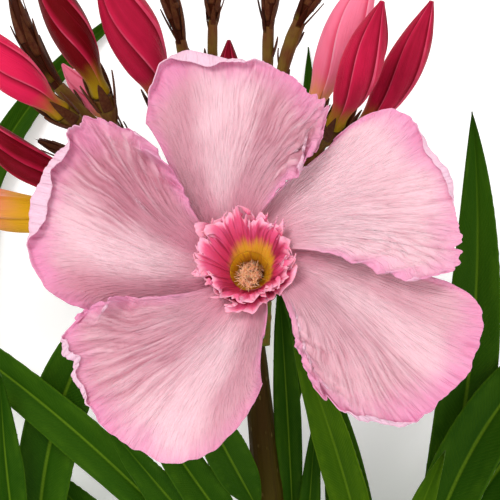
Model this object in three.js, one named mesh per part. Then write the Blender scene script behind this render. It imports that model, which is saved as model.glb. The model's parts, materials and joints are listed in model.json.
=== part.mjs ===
// A cut flowering shoot of pink oleander, lying on its back on a flat surface.
// X runs across the shoot, Y along it from the cut to the buds, Z up from the surface.
// Millimetres. The bloom looks up, tipped a little towards the buds.
import * as THREE from 'three';
import { mergeVertices } from 'three/addons/utils/BufferGeometryUtils.js';

// ---------------------------------------------------------------- driving dimensions
const SEAT_GAP = 0.3;           // clearance between a piece and what carries it
const STEM_RADIUS = 2.6;        // at the cut
const STEM_TIP_RADIUS = 1.3;    // at the fork under the bloom
const ARM_RADIUS = 2.0;
const ARM_TIP_RADIUS = 1.2;
const STALK_RADIUS = 0.8;       // branches of the flower cluster
const STALK_TIP_RADIUS = 0.7;
const LIMB_TAPER = 3;           // a limb keeps its girth most of the way, then narrows
const LIMB_SIDES = 10;
const STALK_SIDES = 8;

const BLOOM_CENTRE = new THREE.Vector3(0, 125, 48);
const BLOOM_FACING = new THREE.Vector3(-0.11, 0.2, 0.97).normalize();
const PETAL_ROOT_RADIUS = 4.2;
const PETAL_THICKNESS = 0.5;
const PETAL_LIFT_AT_ROOT = 0.9; // each petal's ruffled edge rides over its neighbour's smooth edge
const PETAL_LIFT_AT_RIM = 2.4;
const PETAL_BOWL = 3.0;         // how far the petal rises before its rim falls away
const TUBE_LENGTH = 20;
const TUBE_RADIUS = 1.3;
const THROAT_RADIUS = 3.8;
const CORONA_RADIUS = 6.4;
const CORONA_HEIGHT = 5.0;
const CORONA_TEETH = 15;

const LEAF_THICKNESS = 0.9;     // at the midrib
const LEAF_STEPS = 12;
const BUD_SIDES = 8;
const PEDICEL_RADIUS = 0.7;
const PEDICEL_SHARE = 0.16;     // of a bud's whole length, unless the bud has a longer one

// Petals by compass direction on the bloom: heading anticlockwise from +X, reach from the centre,
// half-angle of the fan, and skew, the share by which the smooth side reaches further. Each side
// falls back to its corner by a share of the reach, along a curve of the power given.
const PETALS = [
  { name: 'petal_top', heading: 91.5, reach: 27.6, spread: 33, skew: 0.12,
    smooth: { fall: 0.27, power: 3.5 }, ruffled: { fall: 0.28, power: 7 } },
  { name: 'petal_right', heading: 23.5, reach: 28.2, spread: 30.5, skew: 0,
    smooth: { fall: 0.3, power: 8 }, ruffled: { fall: 0.17, power: 6 } },
  { name: 'petal_lower_right', heading: -32.5, reach: 32.3, spread: 26, skew: 0.03,
    smooth: { fall: 0.36, power: 6 }, ruffled: { fall: 0.35, power: 2.5 } },
  { name: 'petal_lower_left', heading: -120.5, reach: 28.2, spread: 38, skew: 0.1,
    smooth: { fall: 0.53, power: 2 }, ruffled: { fall: 0.1, power: 6 } },
  { name: 'petal_left', heading: 164.5, reach: 29.4, spread: 35, skew: 0.05,
    smooth: { fall: 0.37, power: 2.5 }, ruffled: { fall: 0.28, power: 6 } },
];

// Limbs: their route, first and last radius.
const LIMBS = {
  stem: { route: [[8, 0, 2.6], [6.5, 30, 4.6], [5, 60, 9], [3, 90, 14], [1, 112, 19], [-1, 127, 22]],
    radii: [STEM_RADIUS, STEM_TIP_RADIUS], steps: 14 },
  arm_right: { route: [[11.3, 26, 4.4], [15, 42, 6], [19, 60, 9], [21, 74, 12]],
    radii: [ARM_RADIUS, ARM_TIP_RADIUS], steps: 7 },
  arm_left: { route: [[2.5, 23, 4.2], [-8, 38, 5.5], [-24, 60, 8.5], [-36, 79, 12]],
    radii: [ARM_RADIUS, ARM_TIP_RADIUS], steps: 9 },
  cluster_left: { route: [[-2.8, 127.9, 22.7], [-11, 136.5, 25], [-21, 142.5, 27.5]],
    radii: [STALK_RADIUS, STALK_TIP_RADIUS], steps: 5 },
  cluster_middle: { route: [[-1.1, 128.0, 21.2], [-5, 135, 22], [-9.5, 141.5, 24]],
    radii: [STALK_RADIUS, STALK_TIP_RADIUS], steps: 4 },
  cluster_right: { route: [[0.7, 127.9, 22.7], [5, 134, 24.5], [9.5, 139.5, 26.5]],
    radii: [STALK_RADIUS, STALK_TIP_RADIUS], steps: 4 },
};

// Leaves: the limb that carries each, how far along it, where the tip lies, how the blade bows
// away from the straight line, and its breadth.
const LEAVES = [
  { name: 'leaf_fork_left', on: 'stem', at: 0.13, tip: [-46, 50, 0.4], bow: [-2, 2, 4], breadth: 9 },
  { name: 'leaf_fork_right', on: 'stem', at: 0.13, tip: [56, 46, 0.4], bow: [2, 2, 4], breadth: 9 },
  { name: 'leaf_low_left', on: 'stem', at: 0.44, tip: [-33, 96, 5], bow: [-1, 3, 1], breadth: 8 },
  { name: 'leaf_low_right', on: 'stem', at: 0.50, tip: [10, 104, 20], bow: [1, 0, 0], breadth: 3.6 },
  { name: 'leaf_long_left', on: 'stem', at: 0.58, tip: [-60, 123, 9], bow: [-2, 12, 14], breadth: 6.5 },
  { name: 'leaf_fan_low', on: 'stem', at: 0.60, tip: [-20, 102, 24], bow: [-2, 0, 2], breadth: 6 },
  { name: 'leaf_fan_middle', on: 'stem', at: 0.64, tip: [-15, 106, 29], bow: [-2, 0, 3], breadth: 6 },
  { name: 'leaf_fan_high', on: 'stem', at: 0.70, tip: [-8, 109, 34], bow: [-1, 0, 4], breadth: 6 },
  { name: 'leaf_behind_stem', on: 'stem', at: 0.64, tip: [4.5, 122, 21], bow: [2, 0, 0], breadth: 4 },
  { name: 'leaf_under_buds', on: 'stem', at: 0.72, tip: [9.2, 157, 0.4], bow: [4, 0, -4], breadth: 5 },
  { name: 'leaf_front', on: 'arm_right', at: 0.96, tip: [6, 116, 37], bow: [2, -1, -3], breadth: 5.8 },
  { name: 'leaf_under_front', on: 'arm_right', at: 0.80, tip: [12, 108, 14], bow: [0, 0, -2], breadth: 7 },
  { name: 'leaf_tall_right', on: 'arm_right', at: 0.90, tip: [32, 146, 20], bow: [10, -2, 1], breadth: 8.5 },
  { name: 'leaf_arch_right', on: 'arm_right', at: 0.86, tip: [53, 118, 15], bow: [-6, 17, 13], breadth: 8.5 },
  { name: 'leaf_behind_right', on: 'arm_right', at: 0.76, tip: [57, 112, 0.4], bow: [-8, 6, 3], breadth: 9 },
  { name: 'leaf_young_right', on: 'arm_right', at: 0.99, tip: [27, 99, 35], bow: [-3, -2, 5], breadth: 4.5 },
  { name: 'leaf_behind_left', on: 'arm_left', at: 0.90, tip: [-14, 124, 16], bow: [-9, 9, 1], breadth: 8.5 },
  { name: 'leaf_upright_left', on: 'arm_left', at: 0.96, tip: [-35, 109, 22], bow: [0, 0, 1], breadth: 5 },
  { name: 'leaf_young_left', on: 'arm_left', at: 0.95, tip: [-51, 100, 24], bow: [1, 0, 2], breadth: 5 },
  { name: 'leaf_arc_left', on: 'arm_left', at: 0.84, tip: [-15, 165, 0.4], bow: [-40, 14, -2], breadth: 5.5 },
  { name: 'leaf_out_left', on: 'arm_left', at: 0.80, tip: [-66, 100, 0.4], bow: [-2, 2, 4], breadth: 8 },
];

// Buds: the stalk that carries each, how far along it, the tip, the bow and the widest radius, and
// the pedicel's share of the length where it is long.
const BUDS = [
  { name: 'bud_outer_left', on: 'cluster_left', at: 1, tip: [-37.5, 157, 40], bow: [0, -3, 2], radius: 2.9 },
  { name: 'bud_dark_left', on: 'cluster_left', at: 0.9, tip: [-28.5, 165, 39], bow: [2, 0, 3], radius: 2.7 },
  { name: 'bud_brown_left', on: 'cluster_left', at: 0.94, tip: [-32.5, 163, 29], bow: [-5, -1, -1],
    radius: 1.9, pedicel: 0.3 },
  { name: 'bud_pale_left', on: 'cluster_left', at: 0.78, tip: [-26, 152.5, 24], bow: [0, 0, -1],
    radius: 1.5 },
  { name: 'bud_low_red', on: 'cluster_left', at: 0.50, tip: [-38, 145.5, 31], bow: [-3, -9, 0], radius: 2.5 },
  { name: 'bud_low_small', on: 'cluster_left', at: 0.62, tip: [-30, 142, 24], bow: [0, -2, 0], radius: 1.3 },
  { name: 'bud_low_orange', on: 'cluster_left', at: 0.38, tip: [-46, 137.5, 26], bow: [-4, -9, 0],
    radius: 2.8 },
  { name: 'bud_upright', on: 'cluster_middle', at: 1, tip: [-19.5, 165, 44], bow: [1, -1, 5], radius: 3.5 },
  { name: 'bud_brown_middle', on: 'cluster_middle', at: 0.92, tip: [-12.5, 166, 27], bow: [3, 0, -1],
    radius: 1.7, pedicel: 0.5 },
  { name: 'bud_brown_right', on: 'cluster_middle', at: 0.62, tip: [-4.5, 165, 27], bow: [0, 0, -1],
    radius: 1.4, pedicel: 0.7 },
  { name: 'bud_red_tip', on: 'cluster_middle', at: 0.45, tip: [-2.5, 155.2, 31], bow: [1, 0, 0],
    radius: 2.0 },
  { name: 'bud_small_right', on: 'cluster_right', at: 0.62, tip: [12, 165.5, 30], bow: [-8, 1, 0],
    radius: 1.9, pedicel: 0.66 },
  { name: 'bud_stalk_top', on: 'cluster_right', at: 0.4, tip: [3.3, 166, 27], bow: [-1, 0, -1],
    radius: 1.6, pedicel: 0.68 },
  { name: 'bud_pale_right', on: 'cluster_right', at: 0.84, tip: [17.5, 164.5, 33], bow: [-2, 0, -1],
    radius: 2.9 },
  { name: 'bud_sharp_right', on: 'cluster_right', at: 1, tip: [17.8, 159, 45], bow: [1, -2, 4], radius: 2.8 },
  { name: 'bud_far_right', on: 'cluster_right', at: 0.94, tip: [25, 160, 36], bow: [4, -3, 0], radius: 2.6 },
];

// ---------------------------------------------------------------- finishes
const finish = (color, roughness) => new THREE.MeshStandardMaterial({ color, roughness, metalness: 0 });
const BARK = '#6d5c2c';
const STALK = '#5d3a1e';
const LEAF = '#26490d';
const YOUNG_LEAF = '#4f7a18';
const PETAL = '#e9a9c4';
const CORONA = '#e2567e';
const BUD = '#b3173a';
const ANTHER = '#e2a06a';

// ---------------------------------------------------------------- closed surfaces
const UP = new THREE.Vector3(0, 0, 1);
const vector = ([x, y, z]) => new THREE.Vector3(x, y, z);

// A closed mesh from shared points and triangles, turned so that its faces point out.
function solid(points, faces) {
  const corner = (face, i) => points[face[i]];
  const sixVolumes = faces.reduce(
    (sum, f) => sum + corner(f, 0).dot(corner(f, 1).clone().cross(corner(f, 2))), 0);
  const index = faces.flatMap((f) => (sixVolumes < 0 ? [f[0], f[2], f[1]] : f));
  const geometry = new THREE.BufferGeometry();
  geometry.setAttribute('position', new THREE.Float32BufferAttribute(points.flatMap((p) => p.toArray()), 3));
  geometry.setIndex(index);
  geometry.computeVertexNormals();
  return geometry;
}

// A skin over rings of equal count, with a flat cap on the first and last ring.
function skin(rings) {
  const count = rings[0].length;
  const faces = [];
  for (let r = 0; r + 1 < rings.length; r += 1) {
    for (let i = 0; i < count; i += 1) {
      const a = r * count + i;
      const b = r * count + ((i + 1) % count);
      faces.push([a, b, b + count], [a, b + count, a + count]);
    }
  }
  const last = (rings.length - 1) * count;
  for (let i = 1; i + 1 < count; i += 1) {
    faces.push([0, i + 1, i], [last, last + i, last + i + 1]);
  }
  return solid(rings.flat(), faces);
}

// A sheet of the given thickness over a grid of places, closed round its rim.
function sheet(across, along, place, thickness) {
  const width = across + 1;
  const layer = width * (along + 1);
  const points = [];
  for (const side of [0.5, -0.5]) {
    for (let j = 0; j <= along; j += 1) {
      for (let i = 0; i <= across; i += 1) {
        const p = place(j / along, (2 * i) / across - 1);
        points.push(p.addScaledVector(UP, side * thickness));
      }
    }
  }
  const faces = [];
  const quad = (a, b, c, d) => faces.push([a, b, c], [a, c, d]);
  for (let j = 0; j < along; j += 1) {
    for (let i = 0; i < across; i += 1) {
      const a = j * width + i;
      quad(a, a + 1, a + 1 + width, a + width);
      quad(layer + a, layer + a + width, layer + a + 1 + width, layer + a + 1);
    }
    const left = j * width;
    const right = left + across;
    quad(left, left + width, layer + left + width, layer + left);
    quad(right, layer + right, layer + right + width, right + width);
  }
  for (let i = 0; i < across; i += 1) {
    const root = i;
    const rim = along * width + i;
    quad(root, layer + root, layer + root + 1, root + 1);
    quad(rim, rim + 1, layer + rim + 1, layer + rim);
  }
  return solid(points, faces);
}

// A ring of points round a place on a route, square to the direction of travel.
function ringAt(centre, travel, sides, radiusAcross, radiusUp) {
  const side = travel.clone().cross(UP).normalize();
  const over = side.clone().cross(travel).normalize();
  return Array.from({ length: sides }, (_, i) => {
    const turn = (2 * Math.PI * i) / sides;
    return centre.clone()
      .addScaledVector(side, radiusAcross * Math.cos(turn))
      .addScaledVector(over, radiusUp * Math.sin(turn));
  });
}

// ---------------------------------------------------------------- limbs
function limbCurve(name) {
  return new THREE.CatmullRomCurve3(LIMBS[name].route.map(vector), false, 'centripetal');
}

function limbRadius(name, along) {
  const [first, last] = LIMBS[name].radii;
  return THREE.MathUtils.lerp(first, last, along ** LIMB_TAPER);
}

// One tapering limb. The main stem is cut square across the shoot.
function limb(name, sides) {
  const { steps } = LIMBS[name];
  const curve = limbCurve(name);
  const rings = [];
  for (let i = 0; i <= steps; i += 1) {
    const along = i / steps;
    const squareCut = name === 'stem' && i === 0;
    const travel = squareCut ? new THREE.Vector3(0, 1, 0) : curve.getTangentAt(along);
    const radius = limbRadius(name, along);
    rings.push(ringAt(curve.getPointAt(along), travel, sides, radius, radius));
  }
  return skin(rings);
}

// Where a leaf or bud sits on a limb: on the side that faces its bow, or past the end.
function seatOn(name, along, bowPoint, ownRadius) {
  const curve = limbCurve(name);
  const centre = curve.getPointAt(along);
  const travel = curve.getTangentAt(along);
  const towards = bowPoint.clone().sub(centre);
  if (along === 1) {
    return centre.addScaledVector(travel, SEAT_GAP + ownRadius * Math.sin(travel.angleTo(towards)));
  }
  const outward = towards.addScaledVector(travel, -towards.dot(travel)).normalize();
  return centre.addScaledVector(outward, limbRadius(name, along) + SEAT_GAP + ownRadius);
}

// The curve of a leaf or bud from its seat to its tip.
function growthCurve({ on, at, tip, bow }, ownRadius) {
  const end = vector(tip);
  const start = limbCurve(on).getPointAt(at);
  const bowPoint = start.clone().lerp(end, 0.5).add(vector(bow));
  return new THREE.QuadraticBezierCurve3(seatOn(on, at, bowPoint, ownRadius), bowPoint, end);
}

// ---------------------------------------------------------------- leaves
const PETIOLE_SHARE = 0.07;
const PETIOLE_HALF_WIDTH = 0.7;
const LEAF_TIP_HALF_WIDTH = 0.25;
const LEAF_FOLD = 0.22;         // how deep the gutter is, as a share of the half width

function leafHalfWidth(along, breadth) {
  const blade = Math.max(0, (along - PETIOLE_SHARE) / (1 - PETIOLE_SHARE));
  const lance = Math.sin(Math.PI * blade ** 0.85) ** 0.8;
  const least = THREE.MathUtils.lerp(PETIOLE_HALF_WIDTH, LEAF_TIP_HALF_WIDTH, along);
  return Math.max(least, (breadth / 2) * lance);
}

// A lance-shaped blade folded along its midrib.
function leaf(spec) {
  const curve = growthCurve(spec, PETIOLE_HALF_WIDTH);
  const rings = [];
  for (let i = 0; i <= LEAF_STEPS; i += 1) {
    const along = i / LEAF_STEPS;
    const half = leafHalfWidth(along, spec.breadth);
    const thick = (LEAF_THICKNESS / 2) * THREE.MathUtils.lerp(1, 0.5, along);
    const ring = ringAt(curve.getPointAt(along), curve.getTangentAt(along), 4, half, thick);
    const over = ring[1].clone().sub(ring[3]).normalize();
    ring[0].addScaledVector(over, LEAF_FOLD * half);
    ring[2].addScaledVector(over, LEAF_FOLD * half);
    rings.push(ring);
  }
  return skin(rings);
}

// ---------------------------------------------------------------- buds
// Calyx, narrow tube and furled petals, as [share of the length beyond the pedicel, share of the radius].
const BUD_PROFILE = [
  [0.1, 0.55], [0.19, 0.5], [0.4, 0.85], [0.6, 1], [0.79, 0.78], [0.93, 0.36], [1, 0.12],
];

// Pedicel, then bud, as [share of the length, radius].
function budProfile({ radius, pedicel = PEDICEL_SHARE }) {
  const body = BUD_PROFILE.map(([along, girth]) => [pedicel + (1 - pedicel) * along, girth * radius]);
  return [[0, PEDICEL_RADIUS], [pedicel, PEDICEL_RADIUS], ...body];
}

function bud(spec) {
  const curve = growthCurve(spec, PEDICEL_RADIUS);
  const rings = budProfile(spec).map(([along, radius]) => (
    ringAt(curve.getPointAt(along), curve.getTangentAt(along), BUD_SIDES, radius, radius)));
  return skin(rings);
}

// ---------------------------------------------------------------- the bloom, face up round its own axis
const PETAL_TWIST = 25;         // degrees by which the root of a petal is turned ahead of its rim
const PETAL_RUFFLE = 0.5;

function petalPlace(petal, along, across) {
  const side = across > 0 ? petal.smooth : petal.ruffled;
  const reach = petal.reach * (1 + petal.skew * across - side.fall * Math.abs(across) ** side.power);
  const radius = THREE.MathUtils.lerp(PETAL_ROOT_RADIUS, reach, along);
  const turn = THREE.MathUtils.degToRad(
    petal.heading + petal.spread * across + PETAL_TWIST * (1 - along) ** 2);
  const lift = -across * THREE.MathUtils.lerp(PETAL_LIFT_AT_ROOT, PETAL_LIFT_AT_RIM, along);
  const bowl = PETAL_BOWL * Math.sin(Math.PI * 0.7 * along);
  const ruffle = PETAL_RUFFLE * along ** 3 * Math.sin(9 * across + petal.heading);
  return new THREE.Vector3(radius * Math.cos(turn), radius * Math.sin(turn), lift + bowl + ruffle);
}

function petal(spec) {
  return sheet(10, 7, (along, across) => petalPlace(spec, along, across), PETAL_THICKNESS);
}

// The pipe under the petals, open at the throat.
function tube() {
  const wall = 0.6;
  const neck = -0.62 * TUBE_LENGTH;
  const profile = [
    [0, -TUBE_LENGTH], [TUBE_RADIUS, -TUBE_LENGTH], [TUBE_RADIUS + 0.1, neck], [2.5, -0.35 * TUBE_LENGTH],
    [THROAT_RADIUS, 0], [THROAT_RADIUS - wall, 0], [2.5 - wall, -0.35 * TUBE_LENGTH],
    [TUBE_RADIUS + 0.1 - wall, neck], [0, neck],
  ];
  return lathe(profile, 14);
}

function lathe(profile, turns) {
  const points = profile.map(([radius, height]) => new THREE.Vector2(radius, height));
  const geometry = new THREE.LatheGeometry(points, turns);
  geometry.rotateX(Math.PI / 2);
  geometry.deleteAttribute('uv');
  geometry.deleteAttribute('normal');
  const merged = mergeVertices(geometry, 1e-4);
  return dropCollapsed(merged);
}

// The lathe leaves triangles of no area where the profile meets its axis.
function dropCollapsed(geometry) {
  const position = geometry.getAttribute('position');
  const points = Array.from({ length: position.count },
    (_, i) => new THREE.Vector3().fromBufferAttribute(position, i));
  const faces = [];
  const index = geometry.getIndex();
  for (let i = 0; i < index.count; i += 3) {
    const face = [index.getX(i), index.getX(i + 1), index.getX(i + 2)];
    if (new Set(face).size === 3) faces.push(face);
  }
  return solid(points, faces);
}

// The frilled cup that stands round the throat, its wall swept once round and its lip toothed.
function corona() {
  const steps = CORONA_TEETH * 3;
  const wall = 0.4;
  const foot = THROAT_RADIUS - 0.5;
  const points = [];
  for (let i = 0; i < steps; i += 1) {
    const turn = (2 * Math.PI * i) / steps;
    const tooth = i % 3 === 1 ? 1 : 0.72;
    const lobe = 1 + 0.06 * Math.sin(5 * turn);
    const lipRadius = CORONA_RADIUS * lobe * (0.9 + 0.1 * tooth);
    const lipHeight = CORONA_HEIGHT * tooth;
    const profile = [
      [foot, SEAT_GAP], [foot + 0.2, 2.4], [lipRadius - wall, lipHeight],
      [lipRadius, lipHeight - 0.3], [foot + 0.2 + wall, 2.0], [foot + wall, SEAT_GAP],
    ];
    for (const [radius, height] of profile) {
      points.push(new THREE.Vector3(radius * Math.cos(turn), radius * Math.sin(turn), height));
    }
  }
  const loop = 6;
  const faces = [];
  for (let i = 0; i < steps; i += 1) {
    for (let j = 0; j < loop; j += 1) {
      const a = i * loop + j;
      const b = i * loop + ((j + 1) % loop);
      const c = ((i + 1) % steps) * loop + j;
      const d = ((i + 1) % steps) * loop + ((j + 1) % loop);
      faces.push([a, c, d], [a, d, b]);
    }
  }
  return solid(points, faces);
}

// The twisted tuft of anther tails, on a slim foot in the neck of the tube.
function antherTuft() {
  const neck = -0.62 * TUBE_LENGTH + SEAT_GAP;
  return lathe([[0, neck], [0.4, neck], [0.4, -7], [0.9, -3], [1.5, 0], [0.9, 1.6], [0, 2]], 8);
}

function calyx() {
  const inner = TUBE_RADIUS + SEAT_GAP;
  const floor = -TUBE_LENGTH - SEAT_GAP;
  return lathe([
    [0, floor - 2], [1.2, floor - 2], [2.3, floor + 0.4], [2.2, floor + 3.4],
    [inner, floor + 3.4], [inner, floor], [0, floor],
  ], 12);
}

// The bloom's own short stalk, from the stem to the underside of the calyx.
function bloomStalk() {
  const underCalyx = BLOOM_CENTRE.clone().addScaledVector(BLOOM_FACING, -(TUBE_LENGTH + 2 + 2 * SEAT_GAP));
  const bowPoint = underCalyx.clone().addScaledVector(BLOOM_FACING, -2);
  const onStem = seatOn('stem', 0.9, bowPoint, 0.75);
  const curve = new THREE.QuadraticBezierCurve3(onStem, bowPoint, underCalyx);
  const rings = [0, 0.25, 0.5, 0.75, 1].map((along) => (
    ringAt(curve.getPointAt(along), curve.getTangentAt(along), STALK_SIDES, 0.9, 0.9)));
  return skin(rings);
}

// ---------------------------------------------------------------- assembly
const shoot = new THREE.Group();

function add(parent, name, geometry, material) {
  const mesh = new THREE.Mesh(geometry, material);
  mesh.name = name;
  parent.add(mesh);
}

add(shoot, 'stem', limb('stem', LIMB_SIDES), finish(BARK, 0.75));
for (const name of ['arm_right', 'arm_left']) {
  add(shoot, name, limb(name, LIMB_SIDES), finish(BARK, 0.75));
}
for (const name of ['cluster_left', 'cluster_middle', 'cluster_right']) {
  add(shoot, name, limb(name, STALK_SIDES), finish(STALK, 0.6));
}
for (const spec of LEAVES) {
  const colour = spec.name.includes('young') || spec.name === 'leaf_front' ? YOUNG_LEAF : LEAF;
  add(shoot, spec.name, leaf(spec), finish(colour, 0.4));
}
for (const spec of BUDS) {
  add(shoot, spec.name, bud(spec), finish(BUD, 0.5));
}
add(shoot, 'bloom_stalk', bloomStalk(), finish(STALK, 0.6));

const bloom = new THREE.Group();
bloom.position.copy(BLOOM_CENTRE);
bloom.quaternion.setFromUnitVectors(UP, BLOOM_FACING);
for (const spec of PETALS) {
  add(bloom, spec.name, petal(spec), finish(PETAL, 0.55));
}
add(bloom, 'tube', tube(), finish(PETAL, 0.55));
add(bloom, 'corona', corona(), finish(CORONA, 0.5));
add(bloom, 'anther_tuft', antherTuft(), finish(ANTHER, 0.8));
add(bloom, 'calyx', calyx(), finish(STALK, 0.6));
shoot.add(bloom);

// The origin is under the middle of the part, at the level that it lies on.
shoot.updateMatrixWorld(true);
const box = new THREE.Box3().setFromObject(shoot, true);
shoot.position.set(-(box.min.x + box.max.x) / 2, -(box.min.y + box.max.y) / 2, -box.min.z);
shoot.updateMatrixWorld(true);

export default shoot;
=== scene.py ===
import json
import math
from collections import namedtuple

import bmesh
import bpy
import numpy as np
from bpy.props import FloatProperty, FloatVectorProperty, IntProperty, PointerProperty
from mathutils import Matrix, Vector


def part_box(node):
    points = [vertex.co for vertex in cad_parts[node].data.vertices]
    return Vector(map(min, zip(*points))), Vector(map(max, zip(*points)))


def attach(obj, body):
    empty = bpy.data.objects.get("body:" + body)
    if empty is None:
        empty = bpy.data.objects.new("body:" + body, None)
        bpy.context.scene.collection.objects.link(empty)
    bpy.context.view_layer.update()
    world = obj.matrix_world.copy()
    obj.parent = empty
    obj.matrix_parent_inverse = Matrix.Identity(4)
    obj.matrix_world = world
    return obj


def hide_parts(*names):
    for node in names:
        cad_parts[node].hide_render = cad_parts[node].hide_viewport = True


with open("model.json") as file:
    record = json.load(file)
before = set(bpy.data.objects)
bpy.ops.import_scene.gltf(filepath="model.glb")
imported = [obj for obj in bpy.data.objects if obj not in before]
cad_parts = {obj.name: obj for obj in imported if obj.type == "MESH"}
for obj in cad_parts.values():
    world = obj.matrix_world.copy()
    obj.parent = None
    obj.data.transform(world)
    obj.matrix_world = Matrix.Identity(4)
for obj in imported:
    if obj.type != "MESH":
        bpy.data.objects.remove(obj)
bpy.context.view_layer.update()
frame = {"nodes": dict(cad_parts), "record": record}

bl_info = {
    "name": "Oleander Shoot",
    "version": (1, 0, 0),
    "blender": (4, 5, 0),
    "location": "3D View > Sidebar > Oleander",
    "description": "Grows the bloom, buds, leaves and stems of a cut oleander shoot over its frame",
    "category": "Add Mesh",
}

MM = 0.001
TURN = 2.0 * math.pi
UP = np.array([0.0, 0.0, 1.0])
NEARLY_UP = UP + 0.01            # not parallel to a line that climbs straight
NODES = sorted(frame["nodes"])
SLOT_OF = {entry["node"]: entry["material_slot"] for entry in frame["record"]["subparts"]}
LIMBS = ["stem", "arm_left", "arm_right"]
CLUSTERS = [name for name in NODES if name.startswith("cluster_")]
LEAVES = [name for name in NODES if name.startswith("leaf_")]
BUDS = [name for name in NODES if name.startswith("bud_")]
PETALS = [name for name in NODES if name.startswith("petal_")]


# ------------------------------------------------------------------ numbers
def smooth(low, high, value):
    """0 below low, 1 above high, eased between; low may be the greater."""
    share = np.clip((value - low) / (high - low), 0.0, 1.0)
    return share * share * (3.0 - 2.0 * share)


HASH_WEIGHTS = (127.1, 311.7, 74.7)      # large and unrelated, so that neighbouring places differ
HASH_SCALE = 43758.5453


def hashed(column, row, seed):
    """A repeatable number from 0 to 1 for each whole place on a lattice."""
    mixed = np.sin(column * HASH_WEIGHTS[0] + row * HASH_WEIGHTS[1] + seed * HASH_WEIGHTS[2]) * HASH_SCALE
    return mixed - np.floor(mixed)


def noise(x, y, seed):
    """Soft unevenness from -1 to 1 over a plane."""
    x, y = np.broadcast_arrays(np.asarray(x, float), np.asarray(y, float))
    column, row = np.floor(x), np.floor(y)
    fx, fy = x - column, y - row
    fx, fy = fx * fx * (3 - 2 * fx), fy * fy * (3 - 2 * fy)
    low = hashed(column, row, seed) * (1 - fx) + hashed(column + 1, row, seed) * fx
    high = hashed(column, row + 1, seed) * (1 - fx) + hashed(column + 1, row + 1, seed) * fx
    return 2.0 * (low * (1 - fy) + high * fy) - 1.0


def unit(vectors):
    """The same directions, each of length 1."""
    length = np.linalg.norm(vectors, axis=-1, keepdims=True)
    return vectors / np.maximum(length, 1e-9)


def curve_through(stops, at):
    """A value read off (place, value) stops along a curve that passes smoothly through them."""
    places, values = np.array(stops, float).T
    slopes = np.gradient(values, places)
    at = np.clip(np.asarray(at, float), places[0], places[-1])
    upper = np.clip(np.searchsorted(places, at), 1, len(places) - 1)
    lower = upper - 1
    span = places[upper] - places[lower]
    share = (at - places[lower]) / span
    rest = 1.0 - share
    held = (1.0 + 2.0 * share) * rest ** 2 * values[lower] + share ** 2 * (3.0 - 2.0 * share) * values[upper]
    return held + share * rest * span * (rest * slopes[lower] - share * slopes[upper])


def lattice(rows, columns):
    """Shares from 0 to 1 down the rows of a grid, and from -1 to 1 over its columns."""
    return np.linspace(0.0, 1.0, rows)[:, None], np.linspace(-1.0, 1.0, columns)[None, :]


def full_turn(columns):
    """Even headings round a full turn, each once."""
    return np.linspace(0.0, TURN, columns, endpoint=False)


def round_axis(radius, turn, height):
    """Places at a radius, a heading and a height round +Z."""
    return np.stack(np.broadcast_arrays(radius * np.cos(turn), radius * np.sin(turn), height), axis=-1)


# ------------------------------------------------------------------ reading the frame
FOOT_STEP = 4                    # samples over which a line's direction at its foot is read
HEART_BACK = 3.0                 # how far down the carrying limb a side shoot's curve begins
ELBOW_REACH = 2.6                # how far a side shoot's foot runs straight on before it bends
ELBOW_STEPS = 12


def node_points(name):
    """The corners of a CAD solid, in millimetres."""
    places = np.array([corner.co for corner in frame["nodes"][name].data.vertices], float) / MM
    return np.unique(places.round(4), axis=0)


def out_of_foot(line):
    """The direction in which a line would run on past its foot."""
    return unit(line[0] - line[FOOT_STEP])


def bent_into(limb, line):
    """A short curve from the heart of a carrying limb to the foot of a line beside it."""
    nearest = np.linalg.norm(limb.line - line[0], axis=1).argmin()
    heart = limb.places(max(limb.distance[nearest] - HEART_BACK, 0.0) / limb.length)
    elbow = line[0] + out_of_foot(line) * ELBOW_REACH
    share = np.linspace(0.0, 1.0, ELBOW_STEPS, endpoint=False)[:, None]
    rest = 1.0 - share
    return rest ** 2 * heart + 2.0 * share * rest * elbow + share ** 2 * line[0]


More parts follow.
